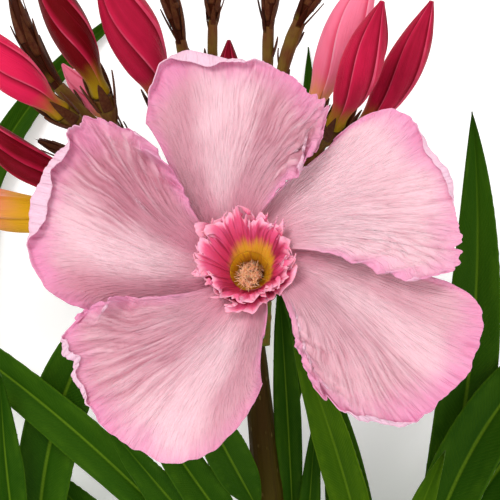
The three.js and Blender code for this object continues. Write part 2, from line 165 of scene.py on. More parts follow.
class Spine:
    """The smooth middle line of a slim CAD solid, from its foot to its tip."""

    SAMPLES = 240
    STEEP = 0.85                 # the climb above which a frame is carried along the line
    RING_GAP = 0.012             # the share of the length that parts two rings of corners

    def __init__(self, name, carriers, reach_back=0.0, limb=None):
        points = node_points(name)
        middle = points.mean(axis=0)
        axis = np.linalg.svd(points - middle)[2][0]
        along = (points - middle) @ axis
        fit = np.polyfit(along, points, 3)
        places = np.linspace(along.min(), along.max(), self.SAMPLES)
        line = sum(fit[power] * places[:, None] ** (3 - power) for power in range(4))
        carried_on = np.vstack([node_points(carrier) for carrier in carriers if carrier != name])
        gaps = [np.linalg.norm(carried_on - line[end], axis=1).min() for end in (0, -1)]
        if gaps[1] < gaps[0]:
            line = line[::-1]
        if reach_back:
            line = np.vstack([line[0] + out_of_foot(line) * reach_back, line])
        if limb is not None:
            line = np.vstack([bent_into(limb, line), line])
        steps = np.linalg.norm(np.diff(line, axis=0), axis=1)
        self.line = line
        self.distance = np.concatenate([[0.0], np.cumsum(steps)])
        self.length = self.distance[-1]
        self.points = points
        self.travel_line = unit(np.gradient(line, self.distance, axis=0))
        self.steep = np.abs(self.travel_line[:, 2]).max() > self.STEEP
        way, ways = np.cross(self.travel_line[0], NEARLY_UP), []
        for travel in self.travel_line:
            way = unit(way - travel * (way @ travel))
            ways.append(way)
        self.way_line = np.array(ways)

    def _read(self, table, along):
        distance = np.asarray(along, float) * self.length
        return np.stack([np.interp(distance, self.distance, table[:, k]) for k in range(3)], axis=-1)

    def places(self, along):
        return self._read(self.line, along)

    def frames(self, along):
        """The direction of travel, the way across and the way over, at each place."""
        travel = unit(self._read(self.travel_line, along))
        across = unit(self._read(self.way_line, along) if self.steep else np.cross(travel, UP))
        return travel, across, np.cross(across, travel)

    def around(self, along, turn, radius):
        """Places at a radius and a heading round the line, at each place along it."""
        _, way, over = self.frames(along)
        return (self.places(along)[:, None, :] + way[:, None, :] * (radius * np.cos(turn))[..., None]
                + over[:, None, :] * (radius * np.sin(turn))[..., None])

    def offsets(self):
        """How far along each corner of the solid lies, and its offset from the middle line."""
        gaps = np.linalg.norm(self.points[:, None, :] - self.line[None, :, :], axis=2)
        nearest = gaps.argmin(axis=1)
        return self.distance[nearest] / self.length, self.points - self.line[nearest]

    def stations(self):
        """Each ring of the solid's corners: how far along it lies and its mean radius."""
        along, offset = self.offsets()
        order = np.argsort(along)
        along, radius = along[order], np.linalg.norm(offset, axis=1)[order]
        starts = np.concatenate([[0], np.nonzero(np.diff(along) > self.RING_GAP)[0] + 1, [len(along)]])
        rings = [slice(first, last) for first, last in zip(starts[:-1], starts[1:])]
        return (np.array([along[ring].mean() for ring in rings]),
                np.array([radius[ring].mean() for ring in rings]))

    def radius_at(self, along):
        return curve_through(np.transpose(self.stations()), along)


class BloomFrame:
    """The bloom's own axis, with its mouth at the origin and +Z out of the throat."""

    def __init__(self):
        below, above = node_points("calyx").mean(axis=0), node_points("corona").mean(axis=0)
        self.facing = unit(above - below)
        self.turn = np.array(Vector(UP).rotation_difference(Vector(self.facing)).to_matrix())
        tube = node_points("tube")
        height = (tube - below) @ self.facing
        self.centre = below + self.facing * height.max()
        self.tube_length = height.max() - height.min()

    def inside(self, name):
        return (node_points(name) - self.centre) @ self.turn

    def outside(self, places):
        return places @ self.turn.T + self.centre


BLOOM = BloomFrame()


# ------------------------------------------------------------------ meshes
class Sheetwork:
    """Gathers grids of places into one mesh, with a growth map and one tint for the whole piece."""

    def __init__(self):
        self.points, self.faces, self.maps, self.finishes = [], [], [], []
        self.count = 0

    def _add_points(self, places):
        start = self.count
        self.points.append(places.reshape(-1, 3))
        self.count += len(self.points[-1])
        return start

    def add_faces(self, corners, growth, finish):
        self.faces.append(corners)
        self.maps.append(growth)
        self.finishes.append(np.full(len(corners), finish))

    def grid(self, places, along, across, wrap=False, finish=0):
        """Quads over a grid of places. along and across give the growth map at each place."""
        rows, columns = places.shape[:2]
        start = self._add_points(places)
        row = np.arange(rows - 1)[:, None]
        column = np.arange(columns if wrap else columns - 1)[None, :]
        following = (column + 1) % columns
        corners = np.stack([
            row * columns + column, row * columns + following,
            (row + 1) * columns + following, (row + 1) * columns + column], axis=-1)
        along = np.broadcast_to(along, (rows, columns + 1 if wrap else columns))
        growth = np.stack([along, np.broadcast_to(across, along.shape)], axis=-1)
        mapped = np.stack([
            growth[row, column], growth[row, column + 1],
            growth[row + 1, column + 1], growth[row + 1, column]], axis=-2)
        self.add_faces(corners.reshape(-1, 4) + start, mapped.reshape(-1, 4, 2), finish)
        return start

    def tube(self, places, along, finish=0, across=None, ends=()):
        """A grid that closes on itself. ends lists the rows that a fan closes, with the fan's centre."""
        columns = places.shape[1]
        across = np.linspace(0.0, 1.0, columns + 1) if across is None else across
        start = self.grid(places, along[:, None], across, wrap=True, finish=finish)
        for row, centre in ends:
            self.cap(start, row, columns, centre, (along[row], 0.5), finish)
        return start

    def join_rings(self, first, second, columns):
        """Quads between two rings that already have their points."""
        number = np.arange(columns)
        following = np.roll(number, -1)
        corners = np.stack([first + number, first + following, second + following, second + number],
                           axis=-1)
        across = np.stack([number, number + 1, number + 1, number], axis=-1) / columns
        self.add_faces(corners, np.stack([np.zeros_like(across), across], axis=-1), 0)

    def cap(self, start, row, columns, centre, growth, finish=0):
        """A fan that closes one ring of a wrapped grid."""
        hub = self._add_points(np.asarray(centre, float)[None, :])
        ring = start + row * columns + np.arange(columns)
        corners = np.stack([ring, np.roll(ring, -1), np.full(columns, hub)], axis=-1)
        self.add_faces(corners, np.broadcast_to(growth, (columns, 3, 2)), finish)

    def shell(self, top, depth, along, across, finishes=(0, 1)):
        """A thin closed blade: the top grid, a back laid off it by depth, and its edges.

        The back lies where the way across crossed with the way along points; a negative
        depth lays it on the other side.
        """
        down = unit(np.cross(np.gradient(top, axis=1), np.gradient(top, axis=0)))
        under = top + down * np.broadcast_to(depth, top.shape[:2])[..., None]
        rows, columns = top.shape[:2]
        first = self.grid(top, along, across, finish=finishes[0])
        second = self.grid(under, along, across, finish=finishes[1])
        number = np.arange(rows * columns).reshape(rows, columns)
        growth = np.stack([np.broadcast_to(along, number.shape), np.broadcast_to(across, number.shape)],
                          axis=-1).reshape(-1, 2)
        for edge in (number[0], number[-1], number[:, 0], number[:, -1]):
            near, far = edge[:-1], edge[1:]
            corners = np.stack([near + first, far + first, far + second, near + second], axis=-1)
            mapped = np.stack([growth[near], growth[far], growth[far], growth[near]], axis=1)
            self.add_faces(corners, mapped, finishes[0])

    def piece(self, name, finishes, nodes, tint=0.5, folds=None):
        """Makes the object, rides it on the shoot and lets it stand for its CAD solids."""
        mesh = bpy.data.meshes.new(name)
        points = np.concatenate(self.points) * MM
        points[:, 2] = np.maximum(points[:, 2], 0.0)     # what lies on the ground is flat against it
        sizes = np.concatenate([np.full(len(f), f.shape[1]) for f in self.faces])
        corners = np.concatenate([f.ravel() for f in self.faces])
        mesh.vertices.add(len(points))
        mesh.vertices.foreach_set("co", points.ravel().astype(np.float32))
        mesh.loops.add(len(corners))
        mesh.loops.foreach_set("vertex_index", corners.astype(np.int32))
        mesh.polygons.add(len(sizes))
        mesh.polygons.foreach_set("loop_start", np.concatenate([[0], np.cumsum(sizes)[:-1]]).astype(np.int32))
        mesh.polygons.foreach_set("loop_total", sizes.astype(np.int32))
        for finish in finishes:
            mesh.materials.append(finish)
        mesh.polygons.foreach_set("material_index", np.concatenate(self.finishes).astype(np.int32))
        growth = mesh.uv_layers.new(name="growth")
        growth.data.foreach_set("uv", np.concatenate([m.ravel() for m in self.maps]).astype(np.float32))
        mesh.update(calc_edges=True)
        mesh.validate()
        values = {"tint": np.full(len(mesh.vertices), tint)}
        if folds is not None:
            values["fold"] = folds.ravel()
        for key, value in values.items():
            mesh.attributes.new(key, "FLOAT", "POINT").data.foreach_set("value", value.astype(np.float32))
        face_outwards(mesh)
        mesh.shade_smooth()
        obj = place_in_scene(name, mesh)
        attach(obj, "root")
        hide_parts(*nodes)


def place_in_scene(name, data):
    """Makes an object of a mesh, light or camera and links it to the scene."""
    obj = bpy.data.objects.new(name, data)
    bpy.context.scene.collection.objects.link(obj)
    return obj


def face_outwards(mesh):
    """Turns every face to the outside of its closed shape."""
    work = bmesh.new()
    work.from_mesh(mesh)
    bmesh.ops.recalc_face_normals(work, faces=work.faces)
    work.to_mesh(mesh)
    work.free()


def swept(work, spine, along, turn, radius, finish=0, growth=None, across=None, ends=(0, -1)):
    """A tube round a spine, closed at the ends given. turn and radius may vary along it and round it."""
    closed = [(row % len(along), spine.places(along[row])) for row in ends]
    places = spine.around(along, turn, radius)
    work.tube(places, along if growth is None else growth, finish, across, closed)


# ------------------------------------------------------------------ finishes
class Shade:
    """A shader value or colour that takes part in arithmetic."""

    def __init__(self, finish, socket):
        self.finish = finish
        self.socket = socket

    def __add__(self, other):
        return self.finish.math("ADD", self, other)

    def __radd__(self, other):
        return self.finish.math("ADD", other, self)

    def __sub__(self, other):
        return self.finish.math("SUBTRACT", self, other)

    def __rsub__(self, other):
        return self.finish.math("SUBTRACT", other, self)

    def __mul__(self, other):
        return self.finish.math("MULTIPLY", self, other)

    def __abs__(self):
        return self.finish.math("ABSOLUTE", self)

    def rises(self, low, high):
        """0 below low, 1 above high, eased between."""
        settings = {"interpolation_type": "SMOOTHSTEP", "clamp": True}
        values = {"Value": self, "From Min": low, "From Max": high}
        return self.finish.node("ShaderNodeMapRange", settings, values, "Result")

    def falls(self, low, high):
        """1 below low, 0 above high, eased between."""
        return 1.0 - self.rises(low, high)


class Finish:
    """One material: a Principled shader fed by expressions over the growth map."""

    def __init__(self, name, constants):
        self.material = bpy.data.materials.new(name)
        self.material.use_nodes = True
        self.tree = self.material.node_tree
        self.shader = next(n for n in self.tree.nodes if n.type == "BSDF_PRINCIPLED")
        for socket, value in constants.items():
            self.shader.inputs[socket].default_value = value
        growth = self.node("ShaderNodeUVMap", {"uv_map": "growth"}, {}, "UV")
        self.along = self.node("ShaderNodeSeparateXYZ", {}, {"Vector": growth}, "X")
        self.across = self.node("ShaderNodeSeparateXYZ", {}, {"Vector": growth}, "Y")
        self.tint = self.node("ShaderNodeAttribute", {"attribute_name": "tint"}, {}, "Fac")
        self.fold = self.node("ShaderNodeAttribute", {"attribute_name": "fold"}, {}, "Fac")

    def node(self, kind, settings, values, output):
        """Adds a node with its settings, then its values or links, and gives one of its outputs."""
        node = self.tree.nodes.new(kind)
        for key, value in settings.items():
            setattr(node, key, value)
        for key, value in values.items():
            self._feed(node.inputs[key], value)
        return Shade(self, node.outputs[output])

    def _feed(self, socket, value):
        """Links a shade to a socket, or sets a number or a colour on it."""
        if isinstance(value, Shade):
            self.tree.links.new(value.socket, socket)
        elif isinstance(socket.default_value, float):
            socket.default_value = value
        else:
            wide = len(socket.default_value)
            socket.default_value = (tuple(value) + (1.0,))[:wide]

    def math(self, operation, *values):
        numbered = dict(enumerate(values))
        return self.node("ShaderNodeMath", {"operation": operation}, numbered, 0)

    def greater(self, first, second):
        return self.math("MAXIMUM", first, second)

    def mix(self, share, first, second, blend="MIX"):
        """The first colour where share is 0, the second where it is 1."""
        settings = {"data_type": "RGBA", "blend_type": blend, "clamp_factor": True}
        return self.node("ShaderNodeMix", settings, {0: share, 6: first, 7: second}, 2)

    def spread(self, along, across, seed=0.0):
        """A texture place with its own fineness along and across the growth."""
        return self.at(self.along * along, self.across * across, self.tint * 9.0 + seed)

    def mottle(self, along, across, detail=3.0, seed=0.0):
        """Uneven growth, from 0 to 1."""
        return self.cloud(self.spread(along, across, seed), detail)

    def cloud(self, place, detail, scale=1.0, roughness=0.55):
        values = {"Vector": place, "Scale": scale, "Detail": detail, "Roughness": roughness}
        return self.node("ShaderNodeTexNoise", {}, values, "Fac")

    def at(self, x, y, z):
        """A texture place from three shades or numbers."""
        return self.node("ShaderNodeCombineXYZ", {}, {"X": x, "Y": y, "Z": z}, "Vector")

    def heading(self):
        """The heading round the bloom that the growth map's across stands for."""
        return self.across * TURN

    def grain(self, scale, detail=2.0):
        """Fine unevenness in the piece's own space, by the metre."""
        return self.cloud(self.node("ShaderNodeTexCoord", {}, {}, "Object"), detail, scale, 0.6)

    def feed(self, socket, value):
        self._feed(self.shader.inputs[socket], value)

    def dress(self, colour, roughness, relief=None, depth=0.0):
        """Feeds the shader and gives the material. The relief's depth is in millimetres."""
        self.feed("Base Color", colour)
        self.feed("Roughness", roughness)
        if relief is not None:
            values = {"Height": relief, "Strength": 1.0, "Distance": depth * MM}
            self.feed("Normal", self.node("ShaderNodeBump", {}, values, "Normal"))
        return self.material


VEIN_ROOT, VEIN_CLOSING = 1.25, 0.4      # how far veins fan at a petal's root, and draw in to its rim


def vein_line(side, along):
    """Which vein of a petal a place lies on, for the mesh and for the shader."""
    return side * (VEIN_ROOT - along * along * VEIN_CLOSING)


def petal_finish(looks, underside=False):
    """Pale pink with a deeper rim, darkening to the throat, finely streaked along its veins. The darkening to
    the throat is partly the petal's own root colour and partly painted shade beside the corona; a lighter
    stripe where each face turns to the light is painted highlight, and the creases carry painted shade in
    their valleys and painted highlight on their ridges.
    """
    name = "petal_underside" if underside else "petal_face"
    finish = Finish(name, {"Subsurface Weight": 0.15, "Subsurface Scale": 0.0008,
                           "Subsurface Radius": (1.0, 0.4, 0.5), "Specular IOR Level": 0.1})
    along, side = finish.along, finish.across * 2.0 - 1.0
    own = finish.tint * 20.0
    vein = vein_line(side, along)
    streaks = finish.cloud(finish.at(along * 5.0, vein * 30.0, own), 3.0)
    threads = finish.cloud(finish.at(along * 9.0, vein * 66.0, own + 5.0), 2.0)
    clouds = finish.cloud(finish.at(along * 3.0, side * 2.0, own + 9.0), 3.0)
    rim = (along + (clouds - 0.5) * 0.3 + (streaks - 0.5) * 0.1).rises(0.72, 0.97)
    flanks = (abs(side) + (clouds - 0.5) * 0.3 + (streaks - 0.5) * 0.08).rises(0.82, 1.05)
    margin = finish.greater(rim, flanks * along.rises(0.05, 0.4))
    throat = (along + (streaks - 0.5) * 0.12).falls(0.02, 0.32)
    # A lighter stripe along each petal where its face turns to the light: painted highlight.
    crest_highlight = (side + (clouds - 0.5) * 0.6).rises(-0.5, 0.1) * (side + (clouds - 0.5) * 0.4).falls(0.2, 0.7)
    pale = finish.greater(crest_highlight * 0.85, finish.tint) * (1.25 - clouds * 0.5)
    body = finish.mix(pale, looks.petal_body, looks.petal_pale_and_highlight)
    body = finish.mix(threads.rises(0.5, 0.8) * 0.08, body, looks.petal_vein_and_crease_shade)
    # Darker in the valleys of the creases: painted shade. Lighter on their ridges: painted highlight.
    body = finish.mix(finish.fold.falls(-0.8, 0.0) * 0.36, body, looks.petal_vein_and_crease_shade)
    body = finish.mix(finish.fold.rises(0.0, 0.6) * 0.3, body, looks.petal_pale_and_highlight)
    body = finish.mix(margin * 0.85, body, looks.petal_rim)
    body = finish.mix(along.rises(0.9, 0.96) * 0.8, body, looks.petal_lip)
    # Deeper pink towards the throat: partly the petal's own root colour, partly painted shade beside the
    # corona.
    body = finish.mix(throat * 0.55, body, looks.petal_root_and_shade)
    if underside:
        body = finish.mix(0.6, body, looks.petal_lip)
    relief = (streaks * 0.6 + threads * 0.5) * (1.0 - throat * 0.5)
    return finish.dress(body, 0.66 - margin * 0.1, relief, 0.5)


def guide_lines(finish, along, count):
    """Uneven dark lines that run down towards the throat, alike where the wall closes on itself."""
    turn, reach = finish.heading(), count / TURN
    place = finish.at(finish.math("COSINE", turn) * reach, finish.math("SINE", turn) * reach, along * 0.9)
    return finish.cloud(place, 1.5).rises(0.5, 0.62)


def corona_finish(looks):
    """Deep pink with dark red lines down to a gold foot, and a pale ragged rim."""
    finish = Finish("corona_pink", {"Subsurface Weight": 0.2, "Subsurface Scale": 0.0006,
                                    "Specular IOR Level": 0.2})
    along = finish.along
    lines = guide_lines(finish, along, 70.0)
    veins = guide_lines(finish, along + 4.0, 24.0)
    patches = finish.mottle(2.0, 14.0, 3.0, seed=6.0)
    uneven = along + (patches - 0.5) * 0.3
    lit_side = finish.math("COSINE", finish.heading() - 1.0)
    colour = finish.mix(uneven.rises(0.3, 0.85), looks.corona_deep, looks.corona_pink)
    colour = finish.mix(lines * along.falls(0.6, 1.0) * 0.5, colour, looks.guide_line)
    colour = finish.mix(veins * along.falls(0.6, 1.0) * 0.7, colour, looks.guide_line)
    gold = (uneven - lit_side * 0.24).falls(-0.08, 0.26)
    colour = finish.mix(gold * 0.85, colour, looks.throat_gold)
    colour = finish.mix(uneven.rises(0.74, 1.0) * 0.8, colour, looks.corona_edge)
    relief = finish.mottle(2.5, 60.0, 3.0, seed=5.0) + lines * -0.3
    return finish.dress(colour, 0.5 + patches * 0.12, relief, 0.2)


def throat_finish(looks):
    """Gold inside the funnel, olive in its depth."""
    finish = Finish("throat_gold", {"Subsurface Weight": 0.15, "Subsurface Scale": 0.001,
                                    "Specular IOR Level": 0.2})
    depth = finish.along
    lines = guide_lines(finish, depth, 40.0)
    patches = finish.mottle(6.0, 12.0, 3.0, seed=6.0)
    sunk = depth + (patches - 0.5) * 0.12
    colour = finish.mix(sunk.rises(0.3, 0.8) * 0.4, looks.throat_gold, looks.throat_olive)
    colour = finish.mix(lines * depth.falls(0.2, 0.6) * 0.35, colour, looks.guide_line)
    return finish.dress(colour, 0.5 + patches * 0.15, finish.mottle(3.0, 70.0, 3.0, seed=6.0), 0.15)


def tube_finish(looks):
    """The outside of the flower tube, pink above and paler to its foot."""
    finish = Finish("flower_tube_pink", {"Subsurface Weight": 0.2, "Subsurface Scale": 0.001})
    streaks = finish.mottle(1.5, 26.0, 3.0)
    colour = finish.mix(finish.along.rises(0.0, 1.0), looks.bud_foot, looks.petal_rim)
    colour = finish.mix(streaks.rises(0.5, 0.8) * 0.4, colour, looks.petal_root_and_shade)
    return finish.dress(colour, 0.5 + streaks * 0.1, streaks, 0.15)


def hair_finish(looks):
    """Peach coloured hairs of the anther tails."""
    finish = Finish("anther_hair", {"Subsurface Weight": 0.3, "Subsurface Scale": 0.0006})
    fleck = finish.grain(2600.0)
    colour = finish.mix(finish.along, looks.anther_root, looks.anther_tip)
    colour = finish.mix(fleck.rises(0.5, 0.8) * 0.3, colour, looks.throat_gold)
    return finish.dress(colour, 0.6 + fleck * 0.15)


def leaf_finish(looks, slot, face, edge, underside):
    """Leathery green with close side veins, a pale midrib, a thin pale margin and a painted highlight stripe
    inside each margin.
    """
    finish = Finish(slot + ("_back" if underside else "_face"), {"Specular IOR Level": 0.03})
    side = abs(finish.across * 2.0 - 1.0)
    slant = finish.along * 95.0 - side * 7.0
    comb = finish.math("SINE", slant * TURN)
    veins = (comb + (finish.mottle(40.0, 6.0) - 0.5) * 1.2).rises(0.45, 1.0)
    blotch = finish.mottle(5.0, 3.0, 3.0, seed=1.0)
    patchy = finish.mottle(14.0, 1.0, 3.0, seed=4.0)
    midrib = (side + (patchy - 0.5) * 0.05).falls(0.015, 0.09) * (patchy * 0.8 + 0.45)
    margin = (side + (patchy - 0.5) * 0.08).rises(0.9, 0.99)
    highlight_band = side.rises(0.5, 0.78) * side.falls(0.8, 0.95) * patchy.rises(0.4, 0.65)
    pale_face = tuple(0.6 * a + 0.4 * b for a, b in zip(face, edge))
    colour = finish.mix(blotch.rises(0.3, 0.75) * 0.6, face, pale_face)
    colour = finish.mix(finish.tint * 0.35, colour, pale_face)
    colour = finish.mix(veins * 0.14 * side.rises(0.08, 0.3), colour, edge)
    # A lighter stripe inside each margin: painted highlight.
    colour = finish.mix(highlight_band * 0.3, colour, edge)
    colour = finish.mix(margin * 0.6, colour, edge)
    colour = finish.mix(midrib * finish.along.falls(0.55, 1.05) * 0.9, colour, looks.leaf_rib)
    if underside:
        colour = finish.mix(0.45, colour, looks.leaf_back)
    relief = veins * -0.35 + finish.mottle(60.0, 26.0, 3.0, seed=8.0) * 0.5
    return finish.dress(colour, 0.4 + blotch * 0.16 - midrib * 0.04, relief, 0.12)


def bud_finish(name, dark, bright, edge, foot, creep=0.0):
    """Furled petals, satin: each bud's own brightness, painted shade where each petal tucks under the raised
    edge of the one before, painted highlight towards its own raised edge, and a fine pale line along each
    petal's edge.

    With creep, the colour of the foot climbs further up the darker buds.
    """
    finish = Finish(name, {"Subsurface Weight": 0.05, "Subsurface Scale": 0.0008,
                           "Specular IOR Level": 0.05})
    within, along = finish.across, finish.along
    streaks = finish.mottle(2.5, 9.0, 3.0)
    cloud = finish.mottle(4.0, 1.5, 2.0, seed=3.0)
    colour = finish.mix((finish.tint + (cloud - 0.5) * 0.5).rises(0.0, 1.0), dark, bright)
    # Darker where each furled petal tucks under the raised edge of the one before: painted shade.
    colour = finish.mix(within.falls(0.0, 0.3) * 0.7, colour, dark)
    colour = finish.mix(streaks.rises(0.55, 0.85) * 0.25, colour, bright)
    # Lighter towards each petal's own raised edge: painted highlight.
    colour = finish.mix(within.rises(0.7, 1.0) * 0.5, colour, bright)
    colour = finish.mix(within.rises(0.92, 0.99) * cloud.rises(0.3, 0.65) * 0.5, colour, edge)
    above_foot = along + (cloud - 0.5) * 0.16 + (finish.tint - 0.75) * creep
    colour = finish.mix(above_foot.falls(0.0, 0.3), colour, foot)
    return finish.dress(colour, 0.38 + streaks * 0.16, finish.mottle(3.0, 24.0, 3.0, seed=7.0), 0.12)


def stalk_finish(name, body, light, dark):
    """Thin skin of a green or brown stalk, streaked along its length."""
    finish = Finish(name, {"Specular IOR Level": 0.15})
    streaks = finish.mottle(4.0, 9.0, 4.0)
    patches = finish.mottle(9.0, 2.5, 3.0, seed=2.0)
    colour = finish.mix(patches.rises(0.3, 0.7), body, light)
    colour = finish.mix(streaks.rises(0.5, 0.8) * 0.7, colour, dark)
    return finish.dress(colour, 0.55 + streaks * 0.2, finish.mottle(12.0, 22.0, 4.0, seed=5.0), 0.18)


def bark_finish(looks):
    """Olive-brown young bark with lengthwise cracks and pale breathing spots."""
    finish = Finish("young_bark", {"Specular IOR Level": 0.08})
    ridges = finish.mottle(7.0, 16.0, 5.0)
    patches = finish.mottle(6.0, 3.0, 3.0, seed=3.0)
    spots = finish.node("ShaderNodeTexVoronoi", {"distance": "EUCLIDEAN"},
                        {"Vector": finish.spread(55.0, 11.0), "Scale": 1.0}, "Distance")
    colour = finish.mix(patches.rises(0.3, 0.7), looks.bark_brown, looks.bark_olive)
    colour = finish.mix(ridges.rises(0.5, 0.75) * 0.6, colour, looks.bark_dark)
    colour = finish.mix(spots.falls(0.1, 0.2) * 0.6, colour, looks.bark_spot)
    return finish.dress(colour, 0.6 + ridges * 0.2, ridges + spots.falls(0.08, 0.22) * 0.4, 0.3)


def cut_wood_finish(looks):
    """The pale face of the cut, ringed round a soft pith."""
    finish = Finish("cut_wood", {"Specular IOR Level": 0.2})
    rings = finish.math("SINE", finish.along * 70.0 + finish.mottle(6.0, 8.0) * 5.0)
    colour = finish.mix(rings.rises(-0.4, 1.0) * 0.4, looks.wood_pale, looks.bark_olive)
    colour = finish.mix(finish.along.falls(0.1, 0.22) * 0.5, colour, looks.wood_pith)
    colour = finish.mix(finish.along.rises(0.86, 0.97), colour, looks.bark_brown)
    return finish.dress(colour, 0.75 + rings * 0.05, rings * 0.3 + finish.mottle(20.0, 40.0, 4.0), 0.15)


# ------------------------------------------------------------------ the open bloom
PETAL_ROOT_RADIUS = 4.2
PETAL_TWIST = 25.0
PETAL_LIFT = (0.9, 2.4)
PETAL_BOWL = 3.0
PETAL_THICKNESS = (0.32, 0.12)   # at the root and at the end of the growth map
PETAL_FACE_ROWS = 84
PETAL_COLUMNS = 240
LIP_START = 0.85                 # share of the rows that lie on the face, before the rim turns
LIP_LENGTH = 2.2
LIP_LEAST, LIP_SLOPE = 0.35, 14.0        # length in mm and slope in degrees where the rim isn't turned
PetalForm = namedtuple("PetalForm", "skew smooth_fall smooth_power ruffled_fall ruffled_power "
                                    "lip_place lip_width lip_strength paleness corner")
PETAL_FORMS = {                  # places run from -1 at the ruffled side to 1 at the smooth side
    "petal_top": PetalForm(0.12, 0.27, 3.5, 0.28, 7.0, 0.35, 0.65, 1.1, 0.2, 0.05),
    "petal_right": PetalForm(0.0, 0.30, 8.0, 0.17, 6.0, 0.1, 0.6, 0.35, 0.85, 0.0),
    "petal_lower_right": PetalForm(0.03, 0.36, 6.0, 0.35, 2.5, -0.6, 0.4, 0.3, 0.45, 0.0),
    "petal_lower_left": PetalForm(0.10, 0.53, 2.0, 0.10, 6.0, -0.65, 0.4, 0.5, 0.25, 0.0),
    "petal_left": PetalForm(0.05, 0.37, 2.5, 0.28, 6.0, -0.03, 0.75, 1.3, 0.0, 0.0),
}


class Petal:
    """One petal's form, with its heading, reach and fan fitted to the corners of its CAD solid."""

    FIRST_STEPS = (8.0, 1.5, 4.0)        # degrees of heading, mm of reach, degrees of fan
    FIRST_GUESS = (28.5, 31.0)           # mm of reach, degrees of fan
    OUTER_PART = 16.0                    # corners further out than this tell the heading
    ROUNDS, CLOSER = 10, 0.6

    def __init__(self, name):
        self.seed = PETALS.index(name) + 1
        self.form = PETAL_FORMS[name]
        self.flat = BLOOM.inside(name)[:, :2]
        across, along = np.meshgrid(np.linspace(-1, 1, 8), np.linspace(0, 1, 11))
        self.lattice = across.ravel(), along.ravel()
        outer = self.flat[np.hypot(*self.flat.T) > self.OUTER_PART].mean(axis=0)
        self.numbers = [math.degrees(math.atan2(outer[1], outer[0])), *self.FIRST_GUESS]
        steps = np.array(self.FIRST_STEPS)
        for _ in range(self.ROUNDS):
            for which in (0, 1, 2, 0):
                tries = [self.numbers[:which] + [self.numbers[which] + move * steps[which]]
                         + self.numbers[which + 1:] for move in (-1, 0, 1)]
                self.numbers = min(tries, key=self.misfit)
            steps = steps * self.CLOSER

    def rim(self, side, reach):
        """How far from the axis the rim lies, from the ruffled side to the smooth side."""
        form = self.form
        fall = np.where(side > 0, form.smooth_fall * np.abs(side) ** form.smooth_power,
                        form.ruffled_fall * np.abs(side) ** form.ruffled_power)
        return reach * (1.0 + form.skew * side - fall)

    def outline(self, side, along, heading, reach, spread):
        """Radius and turn, in degrees, over the petal's face."""
        radius = PETAL_ROOT_RADIUS + (self.rim(side, reach) - PETAL_ROOT_RADIUS) * along
        return radius, heading + spread * side + PETAL_TWIST * (1 - along) ** 2

    def misfit(self, numbers):
        """How far the corners of the solid lie from an outline with these numbers."""
        radius, turn = self.outline(*self.lattice, *numbers)
        drawn = np.stack([radius * np.cos(np.radians(turn)), radius * np.sin(np.radians(turn))], axis=1)
        gaps = np.linalg.norm(self.flat[:, None, :] - drawn[None, :, :], axis=2)
        return (gaps.min(axis=0) ** 2).sum() + (gaps.min(axis=1) ** 2).sum()


def petal_creases(petal, side, along):
    """Fine folds that spread from the root of the petal to its margins, from -1 to 1."""
    seed = petal.seed
    vein = vein_line(side, along) + 0.05 * noise(side * 4.0, along * 5.0, seed + 17)
    valleys = 2.2 * np.abs(noise(vein * 28.0, along * 2.6, seed + 19)) ** 0.6 - 1.2
    finer = 2.2 * np.abs(noise(vein * 47.0, along * 5.0, seed + 21)) ** 0.7 - 1.2
    return np.clip(0.8 * valleys + 0.35 * finer, -1.0, 1.0) * (1.0 - 0.5 * petal.form.paleness)


def turned_rim(petal, side, over_rim, lip_curl):
    """How far the rolled rim stands out and up, and how much of it is turned, from its foot to its edge."""
    form, seed = petal.form, petal.seed
    off_place = np.abs(side - form.lip_place) + 0.12 * noise(side * 5.0, 0.0, seed + 23)
    turned = smooth(form.lip_width, 0.1 * form.lip_width, off_place)
    length = LIP_LEAST + LIP_LENGTH * form.lip_strength * turned
    length = length * (1.0 + 0.14 * noise(side * 7.0, 4.0, seed + 2))
    slope = np.radians(LIP_SLOPE + lip_curl * turned) * smooth(0.0, 0.5, over_rim)
    step = np.diff(over_rim, axis=0, prepend=0.0)
    stands_out = np.cumsum(np.cos(slope) * step, axis=0) * length
    return stands_out, np.cumsum(np.sin(slope) * step, axis=0) * length, turned


def rim_notches(petal, side, ruffled):
    """Uneven bites out of the rim, as shares of its reach, deeper on the ruffled side."""
    seed = petal.seed
    corner = np.exp(-((side - 0.6) / 0.22) ** 2) - np.exp(-((side + 0.5) / 0.4) ** 2)
    return (0.010 * np.sin(9.0 * side + seed * 2.1) + 0.008 * noise(side * 9, 0, seed)
            + (0.004 + 0.030 * ruffled) * noise(side * 21, 0, seed + 9)
            + (0.001 + 0.016 * ruffled) * noise(side * 47, 0, seed + 10)
            + petal.form.corner * corner)


def petal_height(seed, side, along, ruffled, outer, turned, ruffle_height):
    """How a petal rises from its smooth side to its ruffled one, bowls, ruffles and frills."""
    height = -side * (PETAL_LIFT[0] + (PETAL_LIFT[1] - PETAL_LIFT[0]) * along)
    height = height + PETAL_BOWL * np.sin(0.7 * math.pi * along)
    height = height - 0.8 * np.cos(0.5 * math.pi * side) * smooth(0.05, 0.6, along)
    ruffle = noise(along * 7.0 + side * 1.5, side * 2.0, seed + 11) + 0.5 * noise(
        along * 15.0 - side * 3.0, side * 4.0, seed + 12)
    height = height + ruffle_height * ruffled ** 1.3 * outer * ruffle
    frills = noise(side * 13.0, along * 4.0, seed + 25) + 0.6 * noise(side * 27.0, along * 6.0, seed + 26)
    height = height + 0.4 * smooth(0.82, 1.0, along) * (1.0 - 0.6 * turned) * frills
    height = height + 0.45 * smooth(0.6, 1.0, along) * noise(side * 6.0, along * 3.0, seed + 13)
    return height + 0.3 * outer * noise(side * 3.5, along * 3.0, seed + 15)


